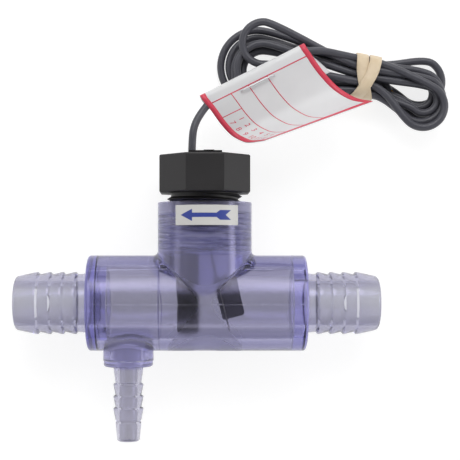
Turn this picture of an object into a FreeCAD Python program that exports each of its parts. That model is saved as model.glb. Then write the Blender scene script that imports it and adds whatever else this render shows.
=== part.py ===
import FreeCAD, Part
import math
import os
import re

import Sketcher

Vector = FreeCAD.Vector

# A paddle flow switch for 3/4 inch hose: a clear tee with hose barbs, and a black plug in its
# hub that carries the hinged paddle, the reed switch in its well, and the cable.
#
# Every sub-part is drawn about the point where the hub's axis meets the run's axis:
# X along the run towards the inlet, Y along the hub towards the plug's head, Z square to both.
# All are then moved together, so that the origin is below the middle of the rigid part and
# the run and the plug lie on the plane Z = 0.

SIZES = (
    # The clear tee
    ("run_diameter", 33.4),
    ("run_left", 37.3),
    ("run_right", 35.1),
    ("edge_round", 1.0),
    ("chamber_radius", 12.6),
    ("socket_radius", 13.3),
    ("socket_end", 15.8),
    ("end_wall", 4.8),
    ("hub_diameter", 32.9),
    ("hub_top", 35.0),
    ("hub_fillet", 1.5),
    ("hub_bore_radius", 11.0),
    ("thread_bottom", 16.8),
    ("thread_radius", 11.83),
    ("thread_slope", 0.03125),
    ("boss_place", 26.7),
    ("boss_diameter", 17.7),
    ("boss_bottom", 19.9),
    # Hose barbs of the run
    ("barb_neck_radius", 10.5),
    ("barb_root_radius", 10.1),
    ("barb_crest_radius", 10.9),
    ("barb_first", 4.25),
    ("barb_pitch", 4.43),
    ("barb_land", 0.6),
    ("barb_rise", 0.7),
    ("barb_tip_radius", 9.3),
    ("barb_reach", 25.5),
    ("barb_bore_radius", 7.8),
    ("tip_round", 1.8),
    ("flanged_tip_round", 1.5),
    ("flange_thickness", 3.3),
    ("spigot_length", 3.7),
    ("cement_gap", 0.1),
    # Bypass barb
    ("bypass_flange_diameter", 17.3),
    ("bypass_flange_thickness", 2.2),
    ("bypass_neck_radius", 5.3),
    ("bypass_root_radius", 4.55),
    ("bypass_crest_radius", 5.25),
    ("bypass_first", 6.2),
    ("bypass_pitch", 4.2),
    ("bypass_land", 0.5),
    ("bypass_rise", 0.5),
    ("bypass_end_root_radius", 4.15),
    ("bypass_end_crest_radius", 4.5),
    ("bypass_end_crest", 19.7),
    ("bypass_tip_radius", 3.9),
    ("bypass_reach", 26.1),
    ("bypass_bore_radius", 3.15),
    ("bypass_spigot_radius", 5.6),
    ("bypass_spigot_length", 5.0),
    ("bypass_tip_round", 0.7),
    ("bypass_flange_round", 0.8),
    # Black plug
    ("head_flats", 31.3),
    ("head_base", 38.3),
    ("head_height", 13.1),
    ("head_round", 0.6),
    ("plug_bottom", 20.5),
    ("thread_gap", 0.12),
    ("well_place", 5.9),
    ("well_radius", 3.8),
    ("well_bottom", 10.3),
    ("well_round", 0.6),
    ("well_bore_radius", 2.7),
    ("well_floor", 1.2),
    ("pocket_radius", 10.0),
    ("pocket_depth", 8.0),
    ("mound_proud", 1.7),
    ("mound_width", 11.6),
    ("mound_depth", 9.0),
    ("mound_place", 0.2),
    ("nub_proud", 0.45),
    ("nub_width", 3.7),
    ("nub_place", 1.5),
    # Paddle and its hinge
    ("hinge_across", 0.15),
    ("hinge_up", 26.0),
    ("pin_radius", 0.75),
    ("pin_length", 19.0),
    ("pin_press", 0.01),
    ("hinge_play", 0.05),
    ("knuckle_radius", 1.5),
    ("slot_play", 0.15),
    ("slot_top_play", 0.4),
    ("slot_side_play", 0.5),
    ("rest_tilt", 13.7),
    ("leaf_thickness", 0.5),
    ("leaf_width", 13.0),
    ("leaf_length", 36.3),
    ("leaf_round", 2.5),
    ("housing_top", 18.5),
    ("housing_end", 32.0),
    ("housing_thickness", 6.2),
    ("housing_width", 12.0),
    ("housing_round", 1.2),
    ("clamp_thickness", 1.1),
    ("clamp_round", 0.9),
    ("stake_radius", 0.8),
    ("stake_play", 0.05),
    ("stake_inset", 1.6),
    ("stake_head_radius", 1.3),
    ("stake_head", 0.4),
    ("magnet_length", 7.4),
    ("magnet_width", 7.4),
    ("magnet_thickness", 4.0),
    ("magnet_play", 0.05),
    # Reed switch, in its well
    ("return_magnet_length", 5.0),
    ("well_play", 0.1),
    ("capsule_radius", 1.3),
    ("capsule_length", 14.0),
    ("capsule_wall", 0.35),
    ("capsule_seal", 2.2),
    ("capsule_lift", 1.4),
    ("lead_turn_depth", 0.56),
    ("lead_bend", 0.48),
    ("lead_radius", 0.3),
    ("blade_width", 1.3),
    ("blade_thickness", 0.2),
    ("blade_overlap", 1.6),
    ("contact_gap", 0.1),
    ("lead_length", 5.0),
    ("lead_spacing", 1.75),
    ("core_radius", 0.45),
    ("core_start", 1.25),
    ("touch_gap", 0.01),
    # Cable, its hank, its tie and its tag
    ("cable_diameter", 2.7),
    ("cable_place", 4.5),
    ("cable_depth", 2.9),
    ("coil_left_across", 21.0),
    ("coil_left_along", 86.0),
    ("coil_left_radius", 16.2),
    ("coil_span", 55.5),
    ("coil_tilt", 11.2),
    ("coil_right_radius", 12.6),
    ("coil_waist_radius", 40.0),
    ("coil_height", 9.4),
    ("coil_bevel", 2.2),
    ("band_place", 35.0),
    ("band_width", 6.8),
    ("band_thickness", 0.9),
    ("band_gap", 0.3),
    ("band_round", 2.2),
    ("floor_gap", 0.1),
    ("tag_width", 40.0),
    ("tag_fold_turn", 26.5),
    ("tag_fall_turn", -38.7),
    ("tag_thickness", 0.4),
    ("tag_loop_radius", 2.0),
    ("tag_lift", 0.3),
    ("tag_flat", 14.0),
    ("tag_curl_radius", 40.0),
    ("tag_curl", 20.0),
    ("tag_back", 11.0),
    ("tag_across", -1.2),
    ("tag_along", 73.5),
    ("staple_width", 12.7),
    ("staple_leg", 4.4),
    ("staple_wire", 0.6),
    ("staple_bend", 0.9),
    ("staple_along", 19.4),
    ("staple_down", 5.5),
    # Flow arrow sticker
    ("label_turn", 79.4),
    ("label_middle", 3.0),
    ("label_height", 6.8),
    ("label_thickness", 0.12),
    ("label_bottom", 26.8),
)
NAMES = {name for name, size in SIZES}

BARBS = 4
BYPASS_BARBS = 3
HEAD_SIDES = 8

doc = FreeCAD.newDocument("paddle_flow_switch")
sheet = doc.addObject("Spreadsheet::Sheet", "Sizes")
for row, (name, size) in enumerate(SIZES, start=1):
    sheet.set("A%d" % row, name)
    sheet.set("B%d" % row, str(size))
    sheet.setAlias("B%d" % row, name)
doc.recompute()


def cells(text):
    """Turn names of sizes into references to their cells in the sheet."""
    return re.sub(r"[a-z_]+", lambda word: "Sizes." + word[0] if word[0] in NAMES else word[0], text)


def size(text):
    """Work out an expression over the sheet's sizes as a number."""
    return float(sheet.evalExpression(cells(text)))


# Where the drawing's own zero goes: the rigid part is centred on X = Y = 0 and lies on Z = 0.
INLET_TIP = "(run_right + barb_reach)"
OUTLET_TIP = "(run_left + flange_thickness + barb_reach)"
BYPASS_TIP = "(boss_bottom + bypass_flange_thickness + bypass_reach)"
HEAD_TOP = "(head_base + head_height)"
MOUND_TOP = "(%s + mound_proud + nub_proud)" % HEAD_TOP
HUB_X = "(%s - %s) / 2" % (OUTLET_TIP, INLET_TIP)
RUN_Y = "(%s - %s) / 2" % (BYPASS_TIP, MOUND_TOP)
RUN_Z = "run_diameter / 2"

ALONG_Y = FreeCAD.Rotation(Vector(1, 0, 0), -90)


def place(piece, x="0", y="0", z="0", rotation=FreeCAD.Rotation()):
    """Put a piece at a point of the drawing, and move it to the part's origin with the rest."""
    piece.Placement = FreeCAD.Placement(Vector(0, 0, 0), rotation)
    for axis, zero, offset in (("x", HUB_X, x), ("y", RUN_Y, y), ("z", RUN_Z, z)):
        piece.setExpression("Placement.Base." + axis, cells("%s + %s" % (zero, offset)))


def new_body(name, *spot, **turn):
    body = doc.addObject("PartDesign::Body", name)
    body.Label = name
    place(body, *spot, **turn)
    return body


def attached(body, feature, role):
    """Set a sketch or a primitive on one of its body's own planes."""
    plane = next(plane for plane in body.Origin.OriginFeatures if plane.Role == role)
    feature.AttachmentSupport = [(plane, "")]
    feature.MapMode = "FlatFace"


def new_sketch(body, name, role, lift=None):
    """Attach an empty sketch to one of its body's own planes, lifted along the plane's normal."""
    sketch = body.newObject("Sketcher::SketchObject", name)
    attached(body, sketch, role)
    if lift is not None:
        sketch.setExpression("AttachmentOffset.Base.z", cells(lift))
    return sketch


def pin_down(sketch, geometry, point, across, along):
    """Tie one point of a sketch to expressions for its two coordinates."""
    for kind, text in (("DistanceX", across), ("DistanceY", along)):
        constraint = Sketcher.Constraint(kind, -1, 1, geometry, point, size(text))
        index = sketch.addConstraint(constraint)
        sketch.setExpression("Constraints[%d]" % index, cells(text))


def outline(body, name, role, corners, lift=None):
    """Draw a closed outline through corners, each a pair of expressions."""
    sketch = new_sketch(body, name, role, lift)
    spots = [Vector(size(across), size(along), 0) for across, along in corners]
    for start, end in zip(spots, spots[1:] + spots[:1]):
        sketch.addGeometry(Part.LineSegment(start, end), False)
    for index, (across, along) in enumerate(corners):
        before = (index - 1) % len(corners)
        sketch.addConstraint(Sketcher.Constraint("Coincident", before, 2, index, 1))
        pin_down(sketch, index, 1, across, along)
    return sketch


def ring(body, name, role, circles, lift=None):
    """Draw circles, each with expressions for its centre and its radius."""
    sketch = new_sketch(body, name, role, lift)
    for across, along, radius in circles:
        centre = Vector(size(across), size(along), 0)
        circle = sketch.addGeometry(Part.Circle(centre, Vector(0, 0, 1), size(radius)), False)
        pin_down(sketch, circle, 3, across, along)
        index = sketch.addConstraint(Sketcher.Constraint("Radius", circle, size(radius)))
        sketch.setExpression("Constraints[%d]" % index, cells(radius))
    return sketch


def turned(body, kind, name, sketch, axis):
    """Revolve or groove a sketch a full turn about its own horizontal or vertical axis."""
    feature = body.newObject("PartDesign::" + kind, name)
    feature.Profile = sketch
    feature.ReferenceAxis = (sketch, [axis])
    feature.Angle = 360
    sketch.Visibility = False
    return feature


def raised(body, kind, name, sketch, length, reverse=False, middle=False):
    """Pad or pocket a sketch by a length that the sheet gives."""
    feature = body.newObject("PartDesign::" + kind, name)
    feature.Profile = sketch
    feature.Reversed = reverse
    if middle:
        feature.SideType = "Symmetric"
    feature.setExpression("Length", cells(length))
    sketch.Visibility = False
    return feature


def rounded(body, name, radius, chosen, kind="Fillet", measure="Radius"):
    """Fillet, or chamfer, the edges of the body's last feature that a test picks out."""
    doc.recompute()
    base = body.Tip
    edges = ["Edge%d" % number for number, edge in enumerate(base.Shape.Edges, start=1) if chosen(edge)]
    if not edges:
        raise ValueError("no edge to round: " + name)
    feature = body.newObject("PartDesign::" + kind, name)
    feature.Base = (base, edges)
    feature.setExpression(measure, cells(radius))
    return feature


def near(value, text):
    return abs(value - size(text)) < 1e-4


def is_circle(edge, radius, axis=None, along=None):
    """Tell a round edge by its radius, and by where its centre lies along an axis."""
    if not isinstance(edge.Curve, Part.Circle) or not near(edge.Curve.Radius, radius):
        return False
    return axis is None or near(getattr(edge.Curve.Center, axis), along)


def box(name, sides, x, y, z, rotation=FreeCAD.Rotation()):
    piece = doc.addObject("Part::Box", name)
    for side, text in zip(("Length", "Width", "Height"), sides):
        piece.setExpression(side, cells(text))
    place(piece, x, y, z, rotation)
    return piece


def rod(name, radius, length, x, y, z, rotation=ALONG_Y):
    piece = doc.addObject("Part::Cylinder", name)
    piece.setExpression("Radius", cells(radius))
    piece.setExpression("Height", cells(length))
    place(piece, x, y, z, rotation)
    return piece


def joined(name, kind, base, tool):
    """Fuse or cut two objects into one sub-part."""
    piece = doc.addObject("Part::" + kind, name)
    piece.Base = base
    piece.Tool = tool
    piece.Label = name
    return piece


# Hose barbs


def barb_outline():
    """Corners of a run barb as distance from its shoulder and radius, up to its tip."""
    corners = [("0", "barb_neck_radius")]
    for step in range(BARBS):
        crest = "barb_first + %d * barb_pitch" % step
        corners.append((crest + " - barb_rise", "barb_root_radius"))
        corners.append((crest, "barb_crest_radius"))
        corners.append((crest + " + barb_land", "barb_crest_radius"))
    corners.append(("barb_reach", "barb_tip_radius"))
    return corners


def bypass_outline():
    """Corners of the bypass barb as radius and distance from its flange, up to its tip."""
    corners = [("bypass_neck_radius", "0")]
    for step in range(BYPASS_BARBS):
        crest = "bypass_first + %d * bypass_pitch" % step
        corners.append(("bypass_root_radius", crest + " - bypass_rise"))
        corners.append(("bypass_crest_radius", crest))
        corners.append(("bypass_crest_radius", crest + " + bypass_land"))
    corners.append(("bypass_root_radius", "bypass_end_crest - 2 * bypass_rise"))
    corners.append(("bypass_end_root_radius", "bypass_end_crest - bypass_rise"))
    corners.append(("bypass_end_crest_radius", "bypass_end_crest"))
    corners.append(("bypass_end_crest_radius", "bypass_end_crest + bypass_land"))
    corners.append(("bypass_tip_radius", "bypass_reach"))
    return corners


# Clear pieces


def make_tee_body():
    body = new_body("tee_body")
    run = [("-run_left", "0"), ("-run_left", "run_diameter / 2"), ("run_right", "run_diameter / 2")]
    run += [("run_right + " + along, radius) for along, radius in barb_outline()]
    run.append((INLET_TIP, "0"))
    turned(body, "Revolution", "run", outline(body, "run_outline", "XY_Plane", run), "H_Axis")
    rounded(body, "inlet_tip_round", "tip_round",
            lambda edge: is_circle(edge, "barb_tip_radius", "x", INLET_TIP))
    rounded(body, "run_end_round", "edge_round",
            lambda edge: is_circle(edge, "run_diameter / 2", "x", "run_right"))
    hub = [("0", "0"), ("hub_diameter / 2", "0"), ("hub_diameter / 2", "hub_top"), ("0", "hub_top")]
    turned(body, "Revolution", "hub", outline(body, "hub_outline", "XY_Plane", hub), "V_Axis")
    dome = body.newObject("PartDesign::AdditiveSphere", "hub_dome")
    attached(body, dome, "XZ_Plane")
    dome.setExpression("Radius", cells("hub_diameter / 2"))
    boss = ring(body, "boss_circle", "XZ_Plane", [("-boss_place", "0", "boss_diameter / 2")])
    raised(body, "Pad", "boss", boss, "boss_bottom")
    chamber = [("-run_left", "0"), ("-run_left", "socket_radius"), ("-socket_end", "socket_radius")]
    chamber += [("-socket_end", "chamber_radius"), ("run_right - end_wall", "chamber_radius")]
    chamber += [("run_right - end_wall", "barb_bore_radius"), (INLET_TIP, "barb_bore_radius")]
    chamber.append((INLET_TIP, "0"))
    turned(body, "Groove", "chamber", outline(body, "chamber_outline", "XY_Plane", chamber), "H_Axis")
    bore = [("0", "0"), ("hub_bore_radius", "0"), ("hub_bore_radius", "thread_bottom")]
    bore += [("thread_radius - (hub_top - thread_bottom) * thread_slope", "thread_bottom")]
    bore += [("thread_radius", "hub_top"), ("0", "hub_top")]
    turned(body, "Groove", "hub_bore", outline(body, "bore_outline", "XY_Plane", bore), "V_Axis")
    socket = ring(body, "bypass_socket_circle", "XZ_Plane",
                  [("-boss_place", "0", "bypass_spigot_radius + cement_gap")])
    raised(body, "Pocket", "bypass_socket", socket, "boss_bottom", reverse=True)
    rounded(body, "hub_root", "hub_fillet", saddle_edge)
    return body


def saddle_edge(edge):
    """The edges where the hub, or the dome under it, leaves the run."""
    middle = edge.valueAt((edge.FirstParameter + edge.LastParameter) / 2)
    across = math.hypot(middle.x, middle.z) if middle.y > 0 else middle.Length
    around = math.hypot(middle.y, middle.z)
    return near(across, "hub_diameter / 2") and near(around, "run_diameter / 2")


def make_outlet_barb():
    body = new_body("outlet_barb")
    spigot = "spigot_length - run_left"
    shape = [(spigot, "barb_bore_radius"), (spigot, "socket_radius - cement_gap")]
    shape += [("-run_left", "socket_radius - cement_gap"), ("-run_left", "run_diameter / 2")]
    shape.append(("-run_left - flange_thickness", "run_diameter / 2"))
    shape += [("-run_left - flange_thickness - (%s)" % along, radius) for along, radius in barb_outline()]
    shape.append(("-%s" % OUTLET_TIP, "barb_bore_radius"))
    turned(body, "Revolution", "barb", outline(body, "barb_shape", "XY_Plane", shape), "H_Axis")
    rounded(body, "outlet_tip_round", "flanged_tip_round",
            lambda edge: is_circle(edge, "barb_tip_radius", "x", "-" + OUTLET_TIP))
    rounded(body, "flange_round", "edge_round",
            lambda edge: is_circle(edge, "run_diameter / 2", "x", "-run_left - flange_thickness"))
    return body


def make_bypass_barb():
    body = new_body("bypass_barb", "-boss_place")
    spigot = "bypass_spigot_length - boss_bottom"
    shape = [("bypass_bore_radius", spigot), ("bypass_spigot_radius", spigot)]
    shape += [("bypass_spigot_radius", "-boss_bottom"), ("bypass_flange_diameter / 2", "-boss_bottom")]
    flange = "-boss_bottom - bypass_flange_thickness"
    shape.append(("bypass_flange_diameter / 2", flange))
    shape += [(radius, "%s - (%s)" % (flange, along)) for radius, along in bypass_outline()]
    shape.append(("bypass_bore_radius", "-" + BYPASS_TIP))
    turned(body, "Revolution", "barb", outline(body, "barb_shape", "XY_Plane", shape), "V_Axis")
    rounded(body, "bypass_tip_round", "bypass_tip_round",
            lambda edge: is_circle(edge, "bypass_tip_radius", "y", "-" + BYPASS_TIP))
    rounded(body, "flange_round", "bypass_flange_round",
            lambda edge: is_circle(edge, "bypass_flange_diameter / 2", "y", flange))
    return body


# The black plug, with the reed switch potted in its well

HINGE_X = "-hinge_across"
WELL_X = "-well_place"
WELL_END = "(well_bottom - well_floor)"
CAPSULE_BASE = "(well_play + return_magnet_length + capsule_lift - %s)" % WELL_END
CAPSULE_TOP = "(%s + capsule_length)" % CAPSULE_BASE
CAPSULE_MIDDLE = "(%s + capsule_length / 2)" % CAPSULE_BASE
LEAD_TOP = "(%s + lead_length)" % CAPSULE_TOP
CABLE_END = "(%s - cable_depth)" % HEAD_TOP


def make_switch_plug():
    body = new_body("switch_plug")
    reach = 0.5 / math.cos(math.pi / HEAD_SIDES)
    turns = [math.pi * (2 * side + 1) / HEAD_SIDES for side in range(HEAD_SIDES)]
    corners = [("head_flats * %.9f" % (reach * math.cos(turn)), "head_flats * %.9f" % (reach * math.sin(turn)))
               for turn in turns]
    head = outline(body, "head_outline", "XZ_Plane", corners, "-head_base")
    raised(body, "Pad", "head", head, "head_height", reverse=True)
    rounded(body, "head_edges", "head_round", head_rim)
    thread = "thread_radius - thread_gap + thread_slope * "
    cone = [("0", "plug_bottom"), (thread + "(plug_bottom - hub_top)", "plug_bottom")]
    cone += [(thread + "(head_base - hub_top)", "head_base"), ("0", "head_base")]
    turned(body, "Revolution", "shank", outline(body, "shank_outline", "XY_Plane", cone), "V_Axis")
    well = ring(body, "well_circle", "XZ_Plane", [(WELL_X, "0", "well_radius")], "-plug_bottom")
    raised(body, "Pad", "well", well, "plug_bottom + well_bottom")
    rounded(body, "well_end_round", "well_round",
            lambda edge: is_circle(edge, "well_radius", "y", "-well_bottom"))
    left = "%s - knuckle_radius - slot_play" % HINGE_X
    right = "%s + knuckle_radius + slot_play" % HINGE_X
    side = "(leaf_width / 2 + slot_side_play)"
    corners = [(left, "-" + side), (right, "-" + side), (right, side), (left, side)]
    slot = outline(body, "slot_outline", "XZ_Plane", corners, "-plug_bottom")
    raised(body, "Pocket", "hinge_slot", slot, "hinge_up + knuckle_radius + slot_top_play - plug_bottom")
    hole = ring(body, "pin_circle", "XY_Plane", [(HINGE_X, "hinge_up", "pin_radius + pin_press")])
    raised(body, "Pocket", "pin_hole", hole, "head_flats", middle=True)
    pocket = ring(body, "pocket_circle", "XZ_Plane", [("0", "0", "pocket_radius")], "-" + HEAD_TOP)
    raised(body, "Pocket", "potting_pocket", pocket, "pocket_depth", reverse=True)
    bore = ring(body, "well_bore_circle", "XZ_Plane", [(WELL_X, "0", "well_bore_radius")], "-" + HEAD_TOP)
    raised(body, "Pocket", "well_bore", bore, "%s + %s" % (HEAD_TOP, WELL_END), reverse=True)
    return body


def head_rim(edge):
    """The edges round the top and the bottom of the plug's head."""
    heights = [vertex.Point.y for vertex in edge.Vertexes]
    return any(all(near(height, rim) for height in heights) for rim in ("head_base", HEAD_TOP))


def make_potting():
    """Epoxy that fills the head's pocket and the well, mounded where the cable leaves."""
    body = new_body("potting_fill")
    pocket = ring(body, "pocket_circle", "XZ_Plane", [("0", "0", "pocket_radius")], "-" + HEAD_TOP)
    raised(body, "Pad", "pocket_fill", pocket, "pocket_depth")
    well = ring(body, "well_circle", "XZ_Plane", [(WELL_X, "0", "well_bore_radius")], "-" + HEAD_TOP)
    magnet_top = "(well_play + return_magnet_length - %s)" % WELL_END
    raised(body, "Pad", "well_fill", well, "%s - %s - well_play" % (HEAD_TOP, magnet_top))
    for name, middle, width, depth, base, proud in (
            ("mound", "mound_place", "mound_width", "mound_depth", HEAD_TOP, "mound_proud"),
            ("nub", "nub_place", "nub_width", "nub_width", HEAD_TOP + " + mound_proud", "nub_proud")):
        left = "%s - %s / 2" % (middle, width)
        right = "%s + %s / 2" % (middle, width)
        corners = [(left, "-%s / 2" % depth), (right, "-%s / 2" % depth)]
        corners += [(right, depth + " / 2"), (left, depth + " / 2")]
        patch = outline(body, name + "_outline", "XZ_Plane", corners, "-(%s)" % base)
        raised(body, "Pad", name, patch, proud, reverse=True)
    return body


def make_capsule():
    """A glass tube sealed at both ends onto the reed's leads."""
    body = new_body("reed_capsule", WELL_X)
    inside = "capsule_radius - capsule_wall"
    shape = [("lead_radius", CAPSULE_BASE), ("capsule_radius", CAPSULE_BASE)]
    shape += [("capsule_radius", CAPSULE_TOP), ("lead_radius", CAPSULE_TOP)]
    shape += [("lead_radius", CAPSULE_TOP + " - capsule_seal"), (inside, CAPSULE_TOP + " - capsule_seal")]
    shape += [(inside, CAPSULE_BASE + " + capsule_seal"), ("lead_radius", CAPSULE_BASE + " + capsule_seal")]
    turned(body, "Revolution", "glass", outline(body, "glass_outline", "XY_Plane", shape), "V_Axis")
    return body


def make_reed(name, side, seal, tip):
    """The flattened end of a reed, from its seal to just past the middle of the capsule."""
    low, high = (seal, tip) if size(seal) < size(tip) else (tip, seal)
    left = "%s + %s * (contact_gap + blade_thickness) / 2 - blade_thickness / 2" % (WELL_X, side)
    sides = ("blade_thickness", "%s - (%s)" % (high, low), "blade_width")
    return box(name, sides, left, low, "-blade_width / 2")


def tube(points, radius, bend=None):
    """A round tube along straight runs joined by tangent arcs, as large as the runs allow."""
    edges = []
    radii = []
    start = points[0]
    for before, corner, after in zip(points, points[1:], points[2:]):
        back = (before - corner).normalize()
        ahead = (after - corner).normalize()
        turn = math.pi - back.getAngle(ahead)
        shorter = min((before - corner).Length, (after - corner).Length)
        arc = bend or 0.45 * shorter / math.tan(turn / 2)
        setback = arc * math.tan(turn / 2)
        middle = (back + ahead).normalize() * (arc / math.cos(turn / 2) - arc)
        end = corner + ahead * setback
        edges.append(Part.LineSegment(start, corner + back * setback).toShape())
        edges.append(Part.Arc(corner + back * setback, corner + middle, end).toShape())
        radii.append(arc)
        start = end
    edges.append(Part.LineSegment(start, points[-1]).toShape())
    path = Part.Wire(edges)
    section = Part.Wire([Part.makeCircle(radius, points[0], points[1] - points[0])])
    solid = path.makePipeShell([section], True, False)
    return solid, path.Length, radii


def make_round_wire(name, points, radius, bend=None):
    """A sub-part that is one bent tube, through points given as triples of expressions."""
    corners = [Vector(*(size(text) for text in point)) for point in points]
    solid, length, radii = tube(corners, size(radius), bend and size(bend))
    piece = doc.addObject("Part::Feature", name)
    piece.Shape = solid
    place(piece)
    expected = math.pi * size(radius) ** 2 * length
    report = (name, length, solid.Volume / expected, ", ".join("%.1f" % arc for arc in radii))
    print("%s: %.1f mm long, volume %.4f of section times length, radii %s mm" % report)
    return piece


def make_reed_switch():
    """Glass capsule, two reeds with their leads, and the cores that join them to the cable."""
    capsule = make_capsule()
    seal = CAPSULE_TOP + " - capsule_seal"
    fixed = make_reed("fixed_blade", "1", seal, CAPSULE_MIDDLE + " - blade_overlap / 2")
    lead = rod("fixed_lead", "lead_radius", "%s - (%s)" % (LEAD_TOP, seal), WELL_X, seal, "0")
    blade_fixed = joined("reed_blade_fixed", "Fuse", fixed, lead)
    seal = CAPSULE_BASE + " + capsule_seal"
    moving = make_reed("moving_blade", "-1", seal, CAPSULE_MIDDLE + " + blade_overlap / 2")
    turn_y = CAPSULE_BASE + " - lead_radius - lead_turn_depth"
    back_x = WELL_X + " + lead_spacing"
    route = [(WELL_X, seal, "0"), (WELL_X, turn_y, "0"), (back_x, turn_y, "0"), (back_x, LEAD_TOP, "0")]
    lead = make_round_wire("moving_lead", route, "lead_radius", "lead_bend")
    blade_moving = joined("reed_blade_moving", "Fuse", moving, lead)
    side_x = WELL_X + " + lead_radius + core_radius + touch_gap"
    base = CAPSULE_TOP + " + core_start"
    core_a = rod("conductor_a", "core_radius", "%s - (%s)" % (CABLE_END, base), side_x, base, "0")
    core_b = rod("conductor_b", "core_radius", "%s - %s" % (CABLE_END, LEAD_TOP), back_x, LEAD_TOP, "0")
    return capsule, blade_fixed, blade_moving, core_a, core_b


def make_plug_contents():
    """All that the head's pocket and the well hold."""
    switch = make_reed_switch()
    magnet = rod("return_magnet", "well_bore_radius - well_play", "return_magnet_length",
                 WELL_X, "well_play - " + WELL_END, "0")
    cable_seat = rod("cable_seat", "cable_diameter / 2", "cable_depth + mound_proud + nub_proud",
                     "-cable_place", CABLE_END, "0")
    capsule_space = rod("capsule_space", "capsule_radius", "capsule_length", WELL_X, CAPSULE_BASE, "0")
    embedded = doc.addObject("Part::Compound", "embedded")
    embedded.Links = [capsule_space, *switch[1:], cable_seat]
    potting = joined("potting_compound", "Cut", make_potting(), embedded)
    return [*switch, magnet, potting]


# The paddle, drawn hanging straight down from its hinge and then turned to its rest


def paddle_body(name):
    body = new_body(name, HINGE_X, "hinge_up")
    body.Placement.Rotation = FreeCAD.Rotation(Vector(0, 0, 1), size("rest_tilt"))
    body.setExpression("Placement.Rotation.Angle", cells("rest_tilt"))
    return body


def stake_places():
    return ["-(housing_top + stake_inset)", "-(housing_end - stake_inset)"]


def slab(body, name, left, right, top, bottom, width):
    """Pad a rectangle evenly to both sides of the paddle's middle plane."""
    corners = [(left, bottom), (right, bottom), (right, top), (left, top)]
    return raised(body, "Pad", name, outline(body, name + "_outline", "XY_Plane", corners), width,
                  middle=True)


def is_corner(edge, x, y):
    """Tell an edge that runs across the paddle at one corner of its side view."""
    return all(near(vertex.Point.x, x) and near(vertex.Point.y, y) for vertex in edge.Vertexes)


def make_paddle_leaf():
    body = paddle_body("paddle_leaf")
    knuckle = ring(body, "knuckle_circle", "XY_Plane", [("0", "0", "knuckle_radius")])
    raised(body, "Pad", "knuckle", knuckle, "leaf_width", middle=True)
    slab(body, "blade", "-leaf_thickness / 2", "leaf_thickness / 2", "0", "-leaf_length", "leaf_width")
    hole = ring(body, "pin_circle", "XY_Plane", [("0", "0", "pin_radius + hinge_play")])
    raised(body, "Pocket", "pin_hole", hole, "leaf_width", middle=True)
    rounded(body, "blade_end_round", "leaf_round", leaf_corner)
    holes = ring(body, "stake_circles", "YZ_Plane",
                 [(along, "0", "stake_radius + stake_play") for along in stake_places()])
    raised(body, "Pocket", "stake_holes", holes, "2 * leaf_thickness", middle=True)
    return body


def leaf_corner(edge):
    """The two short edges at the leaf's lower corners."""
    ends = [vertex.Point for vertex in edge.Vertexes]
    low = all(near(end.y, "-leaf_length") and near(abs(end.z), "leaf_width / 2") for end in ends)
    return low and near(abs(ends[0].x - ends[-1].x), "leaf_thickness")


def make_magnet_housing():
    body = paddle_body("magnet_housing")
    face = "leaf_thickness / 2"
    outer = face + " + housing_thickness"
    slab(body, "housing", face, outer, "-housing_top", "-housing_end", "housing_width")
    rounded(body, "housing_corners", "housing_round",
            lambda edge: is_corner(edge, outer, "-housing_end") or is_corner(edge, outer, "-housing_top"))
    recess = ("-(housing_top + housing_end) / 2", "magnet_length / 2", "magnet_width / 2")
    corners = [("%s %s (%s + magnet_play)" % (recess[0], along, recess[1]),
                "%s(%s + magnet_play)" % (across, recess[2]))
               for along, across in (("-", "-"), ("+", "-"), ("+", ""), ("-", ""))]
    hollow = outline(body, "recess_outline", "YZ_Plane", corners, face)
    raised(body, "Pocket", "magnet_recess", hollow, "magnet_thickness + magnet_play", reverse=True)
    shanks = ring(body, "stake_circles", "YZ_Plane",
                  [(along, "0", "stake_radius") for along in stake_places()], face)
    raised(body, "Pad", "stakes", shanks, "leaf_thickness + clamp_thickness", reverse=True)
    heads = ring(body, "head_circles", "YZ_Plane",
                 [(along, "0", "stake_head_radius") for along in stake_places()],
                 "-leaf_thickness / 2 - clamp_thickness")
    raised(body, "Pad", "stake_heads", heads, "stake_head")
    return body


def make_leaf_clamp():
    body = paddle_body("leaf_clamp")
    face = "-leaf_thickness / 2"
    outer = face + " - clamp_thickness"
    slab(body, "clamp", outer, face, "-housing_top", "-housing_end", "housing_width")
    rounded(body, "clamp_corners", "clamp_round",
            lambda edge: is_corner(edge, outer, "-housing_end") or is_corner(edge, outer, "-housing_top"))
    holes = ring(body, "stake_circles", "YZ_Plane",
                 [(along, "0", "stake_radius + stake_play") for along in stake_places()], face)
    raised(body, "Pocket", "stake_holes", holes, "clamp_thickness")
    sinks = ring(body, "sink_circles", "YZ_Plane",
                 [(along, "0", "stake_head_radius + stake_play") for along in stake_places()], outer)
    raised(body, "Pocket", "stake_sinks", sinks, "stake_head + stake_play", reverse=True)
    return body


def make_paddle_magnet():
    body = paddle_body("paddle_magnet")
    middle = "-(housing_top + housing_end) / 2"
    slab(body, "magnet", "leaf_thickness / 2 + magnet_play", "leaf_thickness / 2 + magnet_thickness",
         middle + " + magnet_length / 2", middle + " - magnet_length / 2", "magnet_width")
    return body


# Cable, its hank, the band round it and the tag folded over it

FLOOR = "-run_diameter / 2"
COIL_BASE = "(%s + floor_gap + band_thickness + band_gap)" % FLOOR
COIL_TOP = "(%s + coil_height)" % COIL_BASE
WAIST_LEFT = "(coil_left_radius + coil_waist_radius)"
WAIST_RIGHT = "(coil_right_radius + coil_waist_radius)"
WAIST_ALONG = "((%s ^ 2 - %s ^ 2 + coil_span ^ 2) / (2 * coil_span))" % (WAIST_LEFT, WAIST_RIGHT)
WAIST_OUT = "sqrt(%s ^ 2 - %s ^ 2)" % (WAIST_LEFT, WAIST_ALONG)
CABLE_ROUTE = [
    (-4.5, 57.5, 0.0),
    (-3.2, 65.5, -5.0),
    (1.6, 70.6, -9.8),
]


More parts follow.
